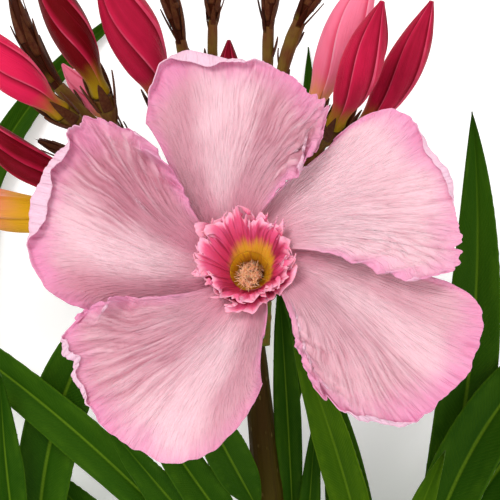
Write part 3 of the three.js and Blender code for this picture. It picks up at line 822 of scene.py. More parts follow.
def petal_surface(petal, sizes):
    """The face of a petal as a grid, root to rim and ruffled side to smooth side."""
    seed, root = petal.seed, PETAL_ROOT_RADIUS
    heading, reach, spread = petal.numbers
    even, side = lattice(PETAL_FACE_ROWS, PETAL_COLUMNS)
    along = np.minimum(even / LIP_START, 1.0) ** 0.9
    over_rim = np.maximum(even - LIP_START, 0.0) / (1.0 - LIP_START)
    ruffled = smooth(-0.25, -0.95, side)
    outer = smooth(0.2, 0.65, along)
    stands_out, stands_up, turned = turned_rim(petal, side, over_rim, sizes.lip_curl)

    radius, turn = petal.outline(side, along, heading, reach, spread + sizes.petal_overlap)
    rim = petal.rim(side, reach)
    drawn_in = rim * (1 + rim_notches(petal, side, ruffled)) - stands_out.max(axis=0, keepdims=True)
    radius = root + (radius - root) * (drawn_in - root) / (rim - root)
    edge_wave = noise(along * 7.5 + seed, 3.0, seed + 3) + 0.5 * noise(along * 19.0, 1.0, seed + 5)
    turn = np.radians(turn + sizes.ruffle_swing * smooth(-0.6, -1.0, side) * outer * edge_wave)

    height = petal_height(seed, side, along, ruffled, outer, turned, sizes.ruffle_height)
    strength = smooth(0.2, 0.6, along) * (0.22 + 0.78 * smooth(0.35, -0.35, side))
    creases = petal_creases(petal, side, along) * strength
    pucker = 0.1 * over_rim * noise(side * 20.0, over_rim * 1.5, seed + 30)
    height = height + sizes.crease_depth * creases + stands_up + pucker
    places = round_axis(radius + stands_out, turn, height)
    return places, 0.9 * along + 0.1 * over_rim * turned, (side + 1.0) / 2.0, creases


def make_petal(name, looks, sizes):
    """A thin petal with a paler back, with its creases written down for the shader."""
    petal = Petal(name)
    places, along, across, creases = petal_surface(petal, sizes)
    thick, thin = PETAL_THICKNESS
    work = Sheetwork()
    work.shell(BLOOM.outside(places), thick - (thick - thin) * along, along, across)
    work.piece(name + "_face", [looks["petal"], looks["petal_under"]], [name],
               tint=petal.form.paleness, folds=np.concatenate([creases, creases]))


CORONA_COLUMNS = 460
CORONA_ROWS = 30
FRILLS = (                       # radius, height, teeth, seed, and how far out and up the foot stands
    (0.95, 0.92, 19, 3, 0.0, 0.0),
    (1.0, 0.66, 16, 8, 0.8, 0.3),
)
FRINGE_STRIPS = 20
THROAT_MOUTH = (2.55, 0.05)      # radius and height where the throat opens into the corona
THROAT_LEAN = (0.4, -1.5)
THROAT_BEND = [(-12.4, 0.0), (-4.0, 0.75), (-1.5, 1.05), (0.5, 0.95), (4.2, 0.0)]     # height, share


def toothed(turn, teeth, seed):
    """Uneven pointed teeth round a full turn, from 0 in the notches to 1 at the tallest point."""
    height = np.zeros_like(turn)
    for tooth in range(teeth):
        place = (tooth + 0.8 * (hashed(tooth, 1.0, seed) - 0.5)) * TURN / teeth
        tall = 0.45 + 0.55 * hashed(tooth, 2.0, seed)
        half = math.pi / teeth * (0.75 + 0.5 * hashed(tooth, 3.0, seed))
        off = np.abs(np.angle(np.exp(1j * (turn - place)))) / half
        height = np.maximum(height, tall * np.clip(1.0 - off ** 0.75, 0.0, 1.0))
    return height


def leaning(places):
    """Places moved with the throat, which leans off the bloom's axis; the corona's rim doesn't."""
    share = curve_through(THROAT_BEND, places[..., 2])
    places[..., 0] += share * THROAT_LEAN[0]
    places[..., 1] += share * THROAT_LEAN[1]
    return places


def frill(work, radius, height, teeth, seed, foot):
    """One funnel wall with a ragged, toothed rim, from the mouth of the throat outwards."""
    turn = full_turn(CORONA_COLUMNS)[None, :]
    along = np.linspace(0.0, 1.0, CORONA_ROWS)[:, None]
    tooth = np.maximum(toothed(turn, teeth, seed), 0.8 * toothed(turn, 2 * teeth + 7, seed + 1))
    tooth = tooth + 0.12 * noise(turn * 40.0, 0.0, seed + 2)
    lobe = 1.0 + 0.08 * np.cos(5.0 * turn + seed) + 0.05 * noise(turn * 2.5, 6.0, seed)
    lip_radius = radius * (0.82 + 0.2 * tooth) * lobe
    lip_height = height * (0.66 + 0.34 * tooth) * (1.0 + 0.16 * noise(turn * 2.2, 0.0, seed))
    wall = foot[0] + (lip_radius - foot[0]) * along ** 1.05
    rise = foot[1] + (lip_height - foot[1]) * (1.0 - (1.0 - along) ** 1.35)
    folds = np.sin(11.0 * turn + 2.0 * np.sin(3.0 * turn + seed)) + 0.6 * np.sin(27.0 * turn + seed)
    wall = wall + along ** 1.6 * 0.26 * folds
    nod = noise(turn * 3.5, 2.0, seed + 4) + 0.7 * noise(turn * 9.0, 3.0, seed + 6)
    rise = rise - smooth(0.6, 1.0, along) * (0.3 + 1.1 * nod) * tooth
    bend = np.sin(7.0 * turn + seed * 1.3) + 1.2 * noise(turn * 6.0, 1.0, seed)
    swirl = turn + along ** 4 * 0.16 * bend
    places = leaning(round_axis(wall, swirl, rise))
    places = BLOOM.outside(np.concatenate([places, places[:, :1]], axis=1))
    across = np.linspace(0.0, 1.0, CORONA_COLUMNS + 1)[None, :]
    work.shell(places, 0.24 - 0.14 * along, along, across, finishes=(0, 0))


def fringe(work, radius, height):
    """Narrow torn strips along the rim of the cup, each curled its own way."""
    dealt = np.random.default_rng(17)
    share, side = lattice(18, 5)
    for strip in range(FRINGE_STRIPS):
        heading = TURN * (strip + 0.8 * dealt.random()) / FRINGE_STRIPS
        long, wide = dealt.uniform(0.9, 1.9), dealt.uniform(0.55, 1.0)
        curl, swing, twist = dealt.uniform(0.4, 1.5), dealt.normal(0.0, 0.13), dealt.normal(0.0, 0.9)
        half = 0.5 * wide * (1.0 - share ** 2) * (1.0 + 0.25 * np.sin(9.0 * share + strip)) + 0.03
        away = 0.8 * radius + long * np.sin(curl * share) / curl
        rise = height * dealt.uniform(0.45, 0.85) + long * (1.0 - np.cos(curl * share)) / curl
        turn = heading + swing * share ** 2 + side * half * np.cos(twist * share) / radius
        rise = rise + side * half * np.sin(twist * share)
        places, across = round_axis(away, turn, rise), (turn / TURN) % 1.0
        work.shell(BLOOM.outside(places), 0.11, 0.74 + 0.26 * share, across, finishes=(0, 0))


def make_corona(looks):
    """The frilled cup: two ragged walls, one inside the other, and torn strips along the rim."""
    outer = BLOOM.inside("corona")
    radius, height = np.hypot(outer[:, 0], outer[:, 1]).max(), outer[:, 2].max()
    work = Sheetwork()
    for wide, tall, teeth, seed, out, up in FRILLS:
        frill(work, radius * wide, height * tall, teeth, seed, (THROAT_MOUTH[0] + out, THROAT_MOUTH[1] + up))
    fringe(work, radius, height)
    work.piece("corona_frill", [looks["corona"]], ["corona"])


TUBE_COLUMNS = 120
TUBE_ROWS = (36, 44)             # outside, inside


def make_tube(looks):
    """The funnel and pipe under the petals: gold inside, pink outside. Profiles give radius and height."""
    length = BLOOM.tube_length
    neck = -0.62 * length
    outer = np.array([(1.35, -length), (1.4, neck), (2.5, -0.35 * length), (3.85, -0.4), (4.1, 0.15)])
    inner = np.array([THROAT_MOUTH, (2.3, -0.8), (1.95, -2.0), (1.65, -3.4), (1.3, -5.5), (0.9, neck)])
    work = Sheetwork()
    turn = full_turn(TUBE_COLUMNS)
    starts = {}
    for profile, finish, rows, closed in ((outer, 1, TUBE_ROWS[0], 0), (inner, 0, TUBE_ROWS[1], -1)):
        stops = np.linspace(0.0, 1.0, len(profile))
        along = np.linspace(0.0, 1.0, rows)
        radius = np.interp(along, stops, profile[:, 0])[:, None] * (1.0 + 0.02 * np.cos(5.0 * turn))
        height = np.interp(along, stops, profile[:, 1])
        places = round_axis(radius, turn, height[:, None])
        places = places if finish else leaning(places)
        centre = BLOOM.outside(np.array([0.0, 0.0, height[closed]]))
        starts[finish] = work.tube(BLOOM.outside(places), along, finish, ends=[(closed % rows, centre)])
    work.join_rings(starts[1] + (TUBE_ROWS[0] - 1) * TUBE_COLUMNS, starts[0], TUBE_COLUMNS)
    work.piece("flower_tube", [looks["throat"], looks["tube"]], ["tube"])


ANTHER_TAILS = 5
TUFT_FOOT, TUFT_RISE = 4.0, 0.9          # above the foot and the top of the tuft's CAD solid
TUFT_LEAN = np.array([0.55, -3.3, 0.0])


def make_anthers(looks, sizes):
    """Twisted anther tails, feathered with fine hairs, that lean together at the mouth."""
    dealt = np.random.default_rng(41)
    work = Sheetwork()
    steps = np.linspace(0.0, 1.0, 26)
    tuft = BLOOM.inside("anther_tuft")[:, 2]
    foot, top = tuft.min() + TUFT_FOOT, tuft.max() + TUFT_RISE
    strands = []
    for tail in range(ANTHER_TAILS):
        turn = TURN * tail / ANTHER_TAILS + 3.6 * steps
        radius = 1.1 * (1 - steps) ** 0.5 + 0.4 + 0.35 * smooth(0.85, 1.0, steps)
        line = round_axis(radius, turn, foot + (top - foot) * steps)
        line = line + TUFT_LEAN * (steps ** 1.5)[:, None]
        strands.append(line)
        strand(work, line, 0.24 - 0.17 * steps, steps)
    share = np.linspace(0.0, 1.0, 5)
    for hair in range(sizes.anther_hairs):
        line = strands[hair % ANTHER_TAILS]
        at = 0.25 + 0.75 * dealt.random() ** 0.8
        root = np.array([np.interp(at, steps, line[:, k]) for k in range(3)])
        swing = dealt.random() * TURN
        way = np.array([math.cos(swing), math.sin(swing), 0.5 + 0.9 * dealt.random()])
        long = 0.45 + 0.75 * dealt.random()
        bow = np.array([dealt.normal(), dealt.normal(), 0.4]) * 0.18
        path = root + unit(way) * long * share[:, None] + bow * (share ** 2)[:, None]
        strand(work, path, 0.06 * (1.0 - 0.75 * share), share, sides=4)
    work.piece("anther_hairs", [looks["hair"]], ["anther_tuft"])


def strand(work, line, radius, along, sides=8):
    """A fine round thread along a short line in the bloom's own frame."""
    travel = unit(np.gradient(line, axis=0))
    helper = np.array([1.0, 0.0, 0.0]) if abs(travel[0][0]) < 0.8 else np.array([0.0, 1.0, 0.0])
    side = unit(np.cross(travel, helper))
    over = np.cross(side, travel)
    turn = full_turn(sides)
    places = line[:, None, :] + radius[:, None, None] * (
        side[:, None, :] * np.cos(turn)[None, :, None] + over[:, None, :] * np.sin(turn)[None, :, None])
    ends = [(row, BLOOM.outside(line[row])) for row in (0, len(line) - 1)]
    work.tube(BLOOM.outside(places), along, ends=ends)


CALYX_DROP = 2.2                 # how far the cup ends below the top of the calyx's CAD solid
CALYX_SEPALS = 5


def make_calyx(looks):
    """Pointed sepals round the foot of the flower tube, on a short cup."""
    inside = BLOOM.inside("calyx")
    low, high = inside[:, 2].min(), inside[:, 2].max()
    radius = np.hypot(inside[:, 0], inside[:, 1]).max()
    work = Sheetwork()
    share = np.linspace(0.0, 1.0, 26)
    wide = np.interp(share, [0.0, 0.35, 1.0], [1.1, radius * 0.85, 1.45])[:, None]
    cup = round_axis(wide, full_turn(60), (low + (high - CALYX_DROP - low) * share)[:, None])
    ends = [(row, BLOOM.outside(np.array([0.0, 0.0, height])))
            for row, height in ((0, low), (len(share) - 1, high - CALYX_DROP))]
    work.tube(BLOOM.outside(cup), share, ends=ends)
    for sepal in range(CALYX_SEPALS):
        add_scale(work, TURN * sepal / CALYX_SEPALS + 0.3, low + 0.5, high + 1.2, radius)
    work.piece("bloom_calyx", [looks["sepal"]], ["calyx"])


def add_scale(work, heading, low, high, radius):
    """One pointed sepal that hugs the flower tube and stands off at its tip."""
    share, side = lattice(16, 9)
    half = 0.62 * (1.0 - share ** 1.6) + 0.03
    turn = heading + side * half
    away = np.interp(share, [0.0, 0.4, 1.0], [1.0, radius * 0.92, 1.9]) + 0.25 * share ** 3
    places = round_axis(away, turn, low + (high - low) * share)
    work.shell(BLOOM.outside(places), 0.2, share, (side + 1) / 2, finishes=(0, 0))


# ------------------------------------------------------------------ leaves
LEAF_REACH_BACK = 1.1            # how far a leaf's foot runs on into the limb that carries it
PETIOLE_SHARE = 0.07
LANCE_FOOT, LANCE_TIP = 0.72, 0.9        # how fast the blade widens from its foot and narrows to its tip
LEAF_LEAN = 8.0                  # the most degrees by which a blade lies turned about its midrib
LEAF_ROWS = 84
LEAF_COLUMNS = 23


def leaf_relief(seed, along, side, half, opened):
    """How a blade rises to its edges, sinks along its midrib, and waves and ribs between them."""
    off = np.abs(side)
    gutter = 0.24 * half * off ** 1.25
    groove = -0.20 * np.exp(-(side * half / 0.32) ** 2) * opened
    turned_edge = -0.16 * smooth(0.86, 1.0, off) * opened
    wave = 0.32 * off ** 2 * noise(along * 11.0, np.sign(side) * 3.0 + 5.0, seed) * opened
    ribs = 0.035 * np.sin(TURN * (along * 48.0 - off * 3.5)) * smooth(0.08, 0.3, off) * opened
    return gutter + groove + turned_edge + wave + ribs


def make_leaf(name, looks, sizes):
    """A lance-shaped blade with a grooved midrib, a keel beneath and a faint wave along its edges."""
    seed = LEAVES.index(name) + 1
    spine = Spine(name, LIMBS, reach_back=LEAF_REACH_BACK)
    corner_along, offset = spine.offsets()
    _, side_way, over_way = spine.frames(corner_along)
    breadth = np.abs((offset * side_way).sum(axis=1)).max()
    along = (1.0 - (1.0 - np.linspace(0.0, 1.0, LEAF_ROWS)) ** 1.15)[:, None]
    side = np.linspace(-1.0, 1.0, LEAF_COLUMNS)[None, :]
    side = np.sign(side) * np.abs(side) ** 1.15

    blade = np.clip((along - PETIOLE_SHARE) / (1.0 - PETIOLE_SHARE), 0.0, 1.0)
    widest = LANCE_FOOT / (LANCE_FOOT + LANCE_TIP)
    lance = (blade / widest) ** LANCE_FOOT * ((1.0 - blade) / (1.0 - widest)) ** LANCE_TIP
    half = np.maximum(breadth * lance, (0.62 * (1.0 - along) + 0.04))
    half = half * (1.0 + 0.03 * noise(along * 7.0, 0.0, seed))
    _, way, over = spine.frames(along[:, 0])
    roll = math.radians(sizes.leaf_roll) * noise(along[:, 0] * 1.6, 2.0, seed)
    roll = roll + math.radians(LEAF_LEAN) * hashed(seed, 3.0, 1.0)
    way, over = (way * np.cos(roll)[:, None] + over * np.sin(roll)[:, None],
                 over * np.cos(roll)[:, None] - way * np.sin(roll)[:, None])
    out = side * half
    opened = smooth(0.02, 0.18, blade)
    height = leaf_relief(seed, along, side, half, opened)
    centre = spine.places(along[:, 0])
    places = centre[:, None, :] + way[:, None, :] * out[..., None] + over[:, None, :] * height[..., None]
    keel = 0.75 * np.exp(-(out / 0.45) ** 2) * (1.0 - 0.75 * along)
    depth = (0.30 + keel + 0.35 * (1.0 - opened)) * (1.0 - 0.85 * smooth(0.86, 1.0, along))
    work = Sheetwork()
    work.shell(places, -depth, along, (side + 1.0) / 2.0)
    slot = SLOT_OF[name]
    finishes = [looks[slot], looks[slot + "_under"]]
    work.piece(name + "_blade", finishes, [name], tint=float(hashed(seed, 5.0, 2.0)))


# ------------------------------------------------------------------ buds
BUD_PETALS = 5
BUD_STEPS = 12                   # columns for each furled petal
BUD_ROWS = 70
BUD_REACH_BACK = 0.8             # how far a bud's foot runs on into the branch that carries it
BUD_SCALES = 14
GOLDEN_TURN = 2.4                # radians from one bract or scale to the next
BUD_GLOW = {                     # how far each bud has brightened, from dark to bright
    "bud_outer_left": 1.0, "bud_upright": 0.5, "bud_dark_left": 0.0, "bud_low_red": 0.2,
    "bud_red_tip": 0.2, "bud_sharp_right": 0.55, "bud_far_right": 0.5, "bud_pale_right": 0.75,
    "bud_low_orange": 0.5, "bud_pale_left": 0.7,
}


def make_bud(name, looks, sizes):
    """A stalk with bracts, and at its end furled petals in a ring of sepals or a knot of scales."""
    seed = BUDS.index(name) + 1
    spine = Spine(name, CLUSTERS, reach_back=BUD_REACH_BACK)
    rings, ring_radius = spine.stations()
    pedicel, girth = rings[1], ring_radius.max()
    slot = SLOT_OF[name]
    work = Sheetwork()
    grow_pedicel(work, spine, pedicel, girth, seed)
    if slot == "brown_bud":
        wrap_scales(work, spine, pedicel, girth, seed)
    else:
        furl_petals(work, spine, pedicel, sizes.bud_twist, seed)
        for leaf in range(BUD_PETALS):
            low = pedicel + 0.1 / spine.length
            high = low + (4.0 + 2.0 * hashed(leaf, seed, 1.0)) / spine.length
            lift = 0.5 + 1.1 * hashed(leaf, seed, 4.0)
            sepal(work, spine, low, high, TURN * leaf / BUD_PETALS + seed, 0.5 * girth + 0.12,
                  spine.radius_at(high) + lift, 2)
    finishes = [looks[slot], looks["flower_stalk"], looks["sepal"]]
    work.piece(name + "_furled", finishes, [name], tint=BUD_GLOW.get(name, 0.3))


def grow_pedicel(work, spine, pedicel, girth, seed):
    """The stalk of one bud, swollen to a small cup under the sepals, with bracts on its way."""
    foot = np.linspace(0.0, pedicel + 1.8 / spine.length, 28)
    stops = [(0.0, 0.78), (0.5 * pedicel, 0.62), (pedicel, 0.5 * girth), (foot[-1], 0.47 * girth)]
    turn = full_turn(28)
    uneven = 1.0 + 0.06 * noise(turn * 2.0, foot[:, None] * spine.length, seed)
    swept(work, spine, foot, turn, curve_through(stops, foot)[:, None] * uneven, finish=1)
    bracts = 1 + int(pedicel * spine.length / 3.0)
    for bract in range(bracts):
        low = pedicel * (0.1 + 0.9 * bract / bracts)
        high = low + (2.2 + 1.2 * hashed(bract, seed, 6.0)) / spine.length
        sepal(work, spine, low, min(high, 0.98), GOLDEN_TURN * bract + seed, 0.78, 1.5, 2)


def wrap_scales(work, spine, pedicel, girth, seed):
    """A young knot: a slim core under overlapping pointed scales."""
    core = np.linspace(pedicel, 0.96, 40)
    swept(work, spine, core, full_turn(32), spine.radius_at(core)[:, None] * 0.72)
    for scale in range(BUD_SCALES):
        low = pedicel + (1.0 - pedicel) * (0.02 + 0.66 * scale / BUD_SCALES)
        high = min(low + (0.34 + 0.14 * hashed(scale, seed, 2.0)) * (1.0 - pedicel), 0.995)
        lift = 0.22 + 0.5 * hashed(scale, seed, 3.0)
        sepal(work, spine, low, high, GOLDEN_TURN * scale + seed, spine.radius_at(low) * 0.74 + 0.05,
              0.72 * spine.radius_at(high) + lift, 2 if scale % 3 else 0)


def furl_petals(work, spine, pedicel, bud_twist, seed):
    """Petals rolled over one another in one turn, each with a raised edge."""
    share = np.linspace(0.0, 1.0, BUD_ROWS)
    within = np.tile(np.linspace(0.0, 1.0, BUD_STEPS), BUD_PETALS)
    petal = np.repeat(np.arange(BUD_PETALS), BUD_STEPS)
    turn = TURN * (petal + within * 0.999)[None, :] / BUD_PETALS
    twist = bud_twist * (0.7 + 0.6 * hashed(seed, 2.0, 8.0)) * smooth(0.0, 1.0, share)[:, None]
    turn = turn + np.radians(twist) + 0.14 * np.sin(turn + seed + 3.0 * share[:, None])
    along = pedicel + (1.0 - pedicel) * (0.1 + 0.9 * share)
    body = (spine.radius_at(along) * (0.9 + 0.1 * smooth(0.0, 0.3, share)))[:, None]
    step = (within - 0.5)[None, :] * 0.10 * smooth(0.05, 0.4, share)[:, None]
    dent = 0.035 * noise(share[:, None] * 4.0, petal[None, :] * 3.1 + within[None, :] * 1.2, seed)
    swept(work, spine, along, turn, body * (1.0 + step + dent), growth=share, across=np.append(within, 1.0))


def sepal(work, spine, low, high, heading, start_radius, tip_radius, finish):
    """A narrow pointed scale that clasps a stalk or bud."""
    share, side = lattice(14, 7)
    turn = heading + side * (0.5 * (1.0 - share) ** 0.8 + 0.02)
    radius = start_radius + (tip_radius - start_radius) * share + 0.1 * np.sin(math.pi * share)
    places = spine.around(low + (high - low) * share[:, 0], turn, radius)
    work.shell(places, 0.16, share, (side + 1.0) / 2.0, finishes=(finish, finish))


# ------------------------------------------------------------------ stems and stalks
LEAF_REACH = 4.0                 # a leaf whose foot is nearer to a limb than this swells it
SWELL_LENGTH = 2.2
RIDGES, RIDGE_LENGTH = 16, 9.0           # ridges of the bark round a limb, and their length
CRACKS, CRACK_LENGTH = 34, 3.5
STALK_REACH_BACK = 1.2


def make_limb(name, looks):
    """Young bark with lengthwise relief and swollen rings where the leaves leave it."""
    seed = LIMBS.index(name) + 1
    spine = Spine(name, LIMBS, limb=None if name == "stem" else Spine("stem", LIMBS))
    if name == "stem" and spine.line[0][1] > spine.line[-1][1]:
        raise RuntimeError("the stem was read from its tip to its cut")
    rows = int(spine.length / 0.6)
    along = np.linspace(0.0, 1.0, rows)
    turn = full_turn(72)[None, :]
    radius = spine.radius_at(along)[:, None]
    swell = np.zeros(rows)
    for leaf in LEAVES:
        foot = Spine(leaf, LIMBS).line[0]
        gaps = np.linalg.norm(spine.places(along) - foot, axis=1)
        if gaps.min() < LEAF_REACH:
            off = (along - along[gaps.argmin()]) * spine.length / SWELL_LENGTH
            swell = np.maximum(swell, np.exp(-off ** 2))
    ridges = noise(turn * RIDGES / TURN, along[:, None] * spine.length / RIDGE_LENGTH, seed)
    cracks = noise(turn * CRACKS / TURN, along[:, None] * spine.length / CRACK_LENGTH, seed + 5)
    rim = smooth(0.0, 0.004, along)[:, None]
    skin = radius * (1.0 + 0.14 * swell[:, None]) + (0.07 * ridges + 0.05 * cracks) * rim
    work = Sheetwork()
    if name == "stem":
        spine.travel_line[:6] = np.array([0.0, 1.0, 0.0])     # so that the cut is square to +Y
        swept(work, spine, along, turn, skin, ends=(-1,))
        close_cut(work, spine, skin[0], turn[0])
    else:
        swept(work, spine, along, turn, skin)
    work.piece(name + "_bark", [looks["bark"], looks["cut_wood"]], [name], tint=0.3 * seed)


def close_cut(work, spine, radius, turn):
    """The flat sawn face at the foot of the stem."""
    share = np.linspace(1.0, 0.06, 14)[:, None]
    places = spine.around(np.array([0.0]), turn, share * radius)
    start = work.grid(places, share, np.linspace(0, 1, len(turn) + 1), wrap=True, finish=1)
    work.cap(start, len(share) - 1, len(turn), spine.places(0.0), (0.0, 0.5), finish=1)


def make_stalk(name, looks, finish="flower_stalk", scales=4):
    """A thin branch of the flower cluster with small bracts along it."""
    spine = Spine(name, ["stem"], reach_back=STALK_REACH_BACK)
    tip = float(spine.radius_at(1.0))
    along = np.linspace(0.0, 1.0, 60)
    turn = full_turn(40)[None, :]
    seed = len(name)
    skin = spine.radius_at(along)[:, None] + 0.06 * noise(turn * 2.2, along[:, None] * 16.0, seed)
    work = Sheetwork()
    swept(work, spine, along, turn, skin)
    for scale in range(scales):
        low = 0.2 + 0.75 * scale / scales
        sepal(work, spine, low, low + 0.2, GOLDEN_TURN * scale + seed, tip + 0.12, tip + 0.9, 1)
    work.piece(name + "_stalk", [looks[finish], looks["sepal"]], [name])


# ------------------------------------------------------------------ settings
def colour(label, use, value):
    """A colour that the panel shows."""
    return FloatVectorProperty(name=label, description=use, subtype="COLOR", size=3, min=0.0, max=1.0,
                               default=value)


class OLEANDER_PG_looks(bpy.types.PropertyGroup):
    """Colours of the shoot."""

    # Also the colour of the painted highlights on a petal's face and on the ridges of its creases.
    petal_pale_and_highlight: colour("Petal pale", "Middle of a petal", (0.76, 0.49, 0.545))
    petal_body: colour("Petal body", "Face of a petal", (0.48, 0.195, 0.255))
    petal_rim: colour("Petal rim", "Margin of a petal", (0.68, 0.23, 0.41))
    petal_lip: colour("Petal lip", "Turned rim of a petal", (0.72, 0.47, 0.57))
    # Also the painted shade in the valleys of a petal's creases.
    petal_vein_and_crease_shade: colour("Petal veins", "Fine streaks along a petal", (0.30, 0.075, 0.12))
    # Also painted shade beside the corona, and streaks on the flower tube.
    petal_root_and_shade: colour("Petal root", "Petal beside the throat", (0.74, 0.24, 0.36))
    corona_deep: colour("Corona deep", "Foot of the frilled cup", (0.50, 0.025, 0.085))
    corona_pink: colour("Corona pink", "Wall of the frilled cup", (0.66, 0.08, 0.19))
    corona_edge: colour("Corona edge", "Teeth of the frilled cup", (0.88, 0.40, 0.52))
    guide_line: colour("Guide lines", "Dark lines into the throat", (0.22, 0.002, 0.025))
    throat_gold: colour("Throat gold", "Inside of the funnel", (0.64, 0.33, 0.01))
    throat_olive: colour("Throat olive", "Depth of the funnel", (0.52, 0.28, 0.02))
    anther_root: colour("Anther root", "Foot of the anther hairs", (0.74, 0.32, 0.13))
    anther_tip: colour("Anther tip", "Tips of the anther hairs", (0.94, 0.50, 0.32))
    leaf_dark: colour("Leaf", "Upper face of a grown leaf", (0.0105, 0.045, 0.0006))
    # Also the painted highlight stripe inside the margins of a grown leaf.
    leaf_edge_and_highlight: colour("Leaf light", "Margins and veins of a grown leaf", (0.05, 0.12, 0.004))
    leaf_rib: colour("Leaf midrib", "Midrib of a grown leaf", (0.085, 0.16, 0.006))
    leaf_back: colour("Leaf back", "Underside of a leaf", (0.13, 0.22, 0.08))
    young_green: colour("Young leaf", "Upper face of a young leaf", (0.024, 0.07, 0.0008))
    # Also the painted highlight stripe inside the margins of a young leaf.
    young_edge_and_highlight: colour("Young leaf light", "Margins of a young leaf", (0.09, 0.17, 0.003))
    bud_crimson: colour("Bud", "Brightest furled petals", (0.60, 0.012, 0.065))
    # The darkest buds' own colour, and the painted shade where the furled petals tuck under one another.
    bud_dark_and_shade: colour("Bud dark", "Darkest furled petals and the folds", (0.10, 0.0003, 0.002))
    bud_edge: colour("Bud edge", "Edges of the furled petals", (0.80, 0.16, 0.26))
    bud_pink: colour("Pale bud", "Furled petals of a pale bud", (0.84, 0.20, 0.31))
    bud_foot: colour("Bud foot", "Olive yellow foot of the buds", (0.34, 0.22, 0.006))
    sepal_brown: colour("Sepal", "Sepals and bracts", (0.075, 0.014, 0.004))
    stalk_brown: colour("Stalk", "Flower stalks", (0.11, 0.035, 0.008))
    stalk_olive: colour("Stalk olive", "Lighter patches of the stalks", (0.14, 0.085, 0.008))
    bark_brown: colour("Bark brown", "Bark", (0.036, 0.017, 0.001))
    bark_olive: colour("Bark olive", "Greener bark", (0.042, 0.030, 0.001))
    bark_dark: colour("Bark cracks", "Cracks in the bark", (0.02, 0.01, 0.003))
    bark_spot: colour("Bark spots", "Breathing spots", (0.11, 0.08, 0.02))
    wood_pale: colour("Cut wood", "Face of the cut", (0.62, 0.55, 0.32))
    wood_pith: colour("Pith", "Middle of the cut", (0.45, 0.40, 0.22))


def size(label, use, value, most, least=0.0, unit="NONE"):
    """A size that the panel shows."""
    return FloatProperty(name=label, description=use, default=value, min=least, max=most, unit=unit)


class OLEANDER_PG_sizes(bpy.types.PropertyGroup):
    """Sizes that a grower would change."""

    ruffle_height: size("Ruffle height", "Waves of the ruffled petal edge, mm", 1.2, 3.0)
    petal_overlap: size("Petal overlap", "Widening of each petal's fan, degrees", 2.2, 8.0)
    ruffle_swing: size("Ruffle swing", "Sideways wave of the ruffled edge, degrees", 2.2, 10.0)
    crease_depth: size("Crease depth", "Creases along the petal veins, mm", 0.34, 0.6)
    lip_curl: size("Lip curl", "Turn of the rolled petal rim, degrees", 155.0, 220.0)
    leaf_roll: size("Leaf roll", "Twist of the blades about their midribs, degrees", 12.0, 60.0)
    bud_twist: size("Bud twist", "Turn of the furled petals, degrees", 62.0, 360.0)
    anther_hairs: IntProperty(name="Anther hairs", description="Hairs on the anther tails",
                              default=700, min=0, max=3000)
    camera_height: size("Camera height", "Camera above the bloom", 0.30, 2.0, 0.1, "LENGTH")
    view_width: size("View width", "Width of the view at the bloom", 0.065, 1.0, 0.01, "LENGTH")


FINISHES = {}


def make_finishes(looks):
    """Mixes each material once."""
    if FINISHES:
        return FINISHES
    # A darker sepal brown: the own dark of the brown buds and of sepal streaks, and the painted shade of the
    # brown buds.
    brown_dark_and_shade = tuple(0.4 * c for c in looks.sepal_brown)
    FINISHES.update({
        "petal": petal_finish(looks),
        "petal_under": petal_finish(looks, underside=True),
        "corona": corona_finish(looks),
        "throat": throat_finish(looks),
        "tube": tube_finish(looks),
        "hair": hair_finish(looks),
        "red_bud": bud_finish("red_bud", looks.bud_dark_and_shade, looks.bud_crimson, looks.bud_edge, looks.bud_foot),
        "pale_bud": bud_finish("pale_bud", looks.bud_crimson, looks.bud_pink, looks.petal_lip,
                               looks.throat_gold, creep=1.6),
        "brown_bud": bud_finish("brown_bud", brown_dark_and_shade, looks.sepal_brown, looks.bud_dark_and_shade,
                                looks.stalk_olive),
        "sepal": stalk_finish("sepal_maroon", looks.sepal_brown, looks.stalk_brown, brown_dark_and_shade),
        "flower_stalk": stalk_finish("flower_stalk", looks.stalk_brown, looks.stalk_olive,
                                     looks.sepal_brown),
        "green_stalk": stalk_finish("green_stalk", looks.stalk_olive, looks.leaf_edge_and_highlight, looks.stalk_brown),
        "bark": bark_finish(looks),
        "cut_wood": cut_wood_finish(looks),
    })
    for slot, face, edge in (("leaf", looks.leaf_dark, looks.leaf_edge_and_highlight),
                             ("young_leaf", looks.young_green, looks.young_edge_and_highlight)):
        FINISHES[slot] = leaf_finish(looks, slot, face, edge, underside=False)
        FINISHES[slot + "_under"] = leaf_finish(looks, slot, face, edge, underside=True)
    return FINISHES


# ------------------------------------------------------------------ operators
class GrowingStep(bpy.types.Operator):
    """Grows one group of pieces."""

    bl_options = {"REGISTER", "UNDO"}

    def execute(self, context):
        looks = make_finishes(context.scene.oleander_looks)
        self.grow(looks, context.scene.oleander_sizes)
        return {"FINISHED"}


class OLEANDER_OT_petals(GrowingStep):
    """Grows the five petals of the open bloom"""

    bl_idname = "oleander.petals"
    bl_label = "Petals"

    def grow(self, looks, sizes):
        for name in PETALS:
            make_petal(name, looks, sizes)


class OLEANDER_OT_corona(GrowingStep):
    """Grows the frilled cup round the throat"""

    bl_idname = "oleander.corona"
    bl_label = "Corona"

    def grow(self, looks, sizes):
        make_corona(looks)


class OLEANDER_OT_throat(GrowingStep):
    """Grows the flower tube and the anther tails inside it"""

    bl_idname = "oleander.throat"
    bl_label = "Throat"

    def grow(self, looks, sizes):
        make_tube(looks)
        make_anthers(looks, sizes)


class OLEANDER_OT_calyx(GrowingStep):
    """Grows the sepals and short stalk under the open bloom"""

    bl_idname = "oleander.calyx"
    bl_label = "Calyx"

    def grow(self, looks, sizes):
        make_calyx(looks)
        make_stalk("bloom_stalk", looks, "green_stalk", scales=1)


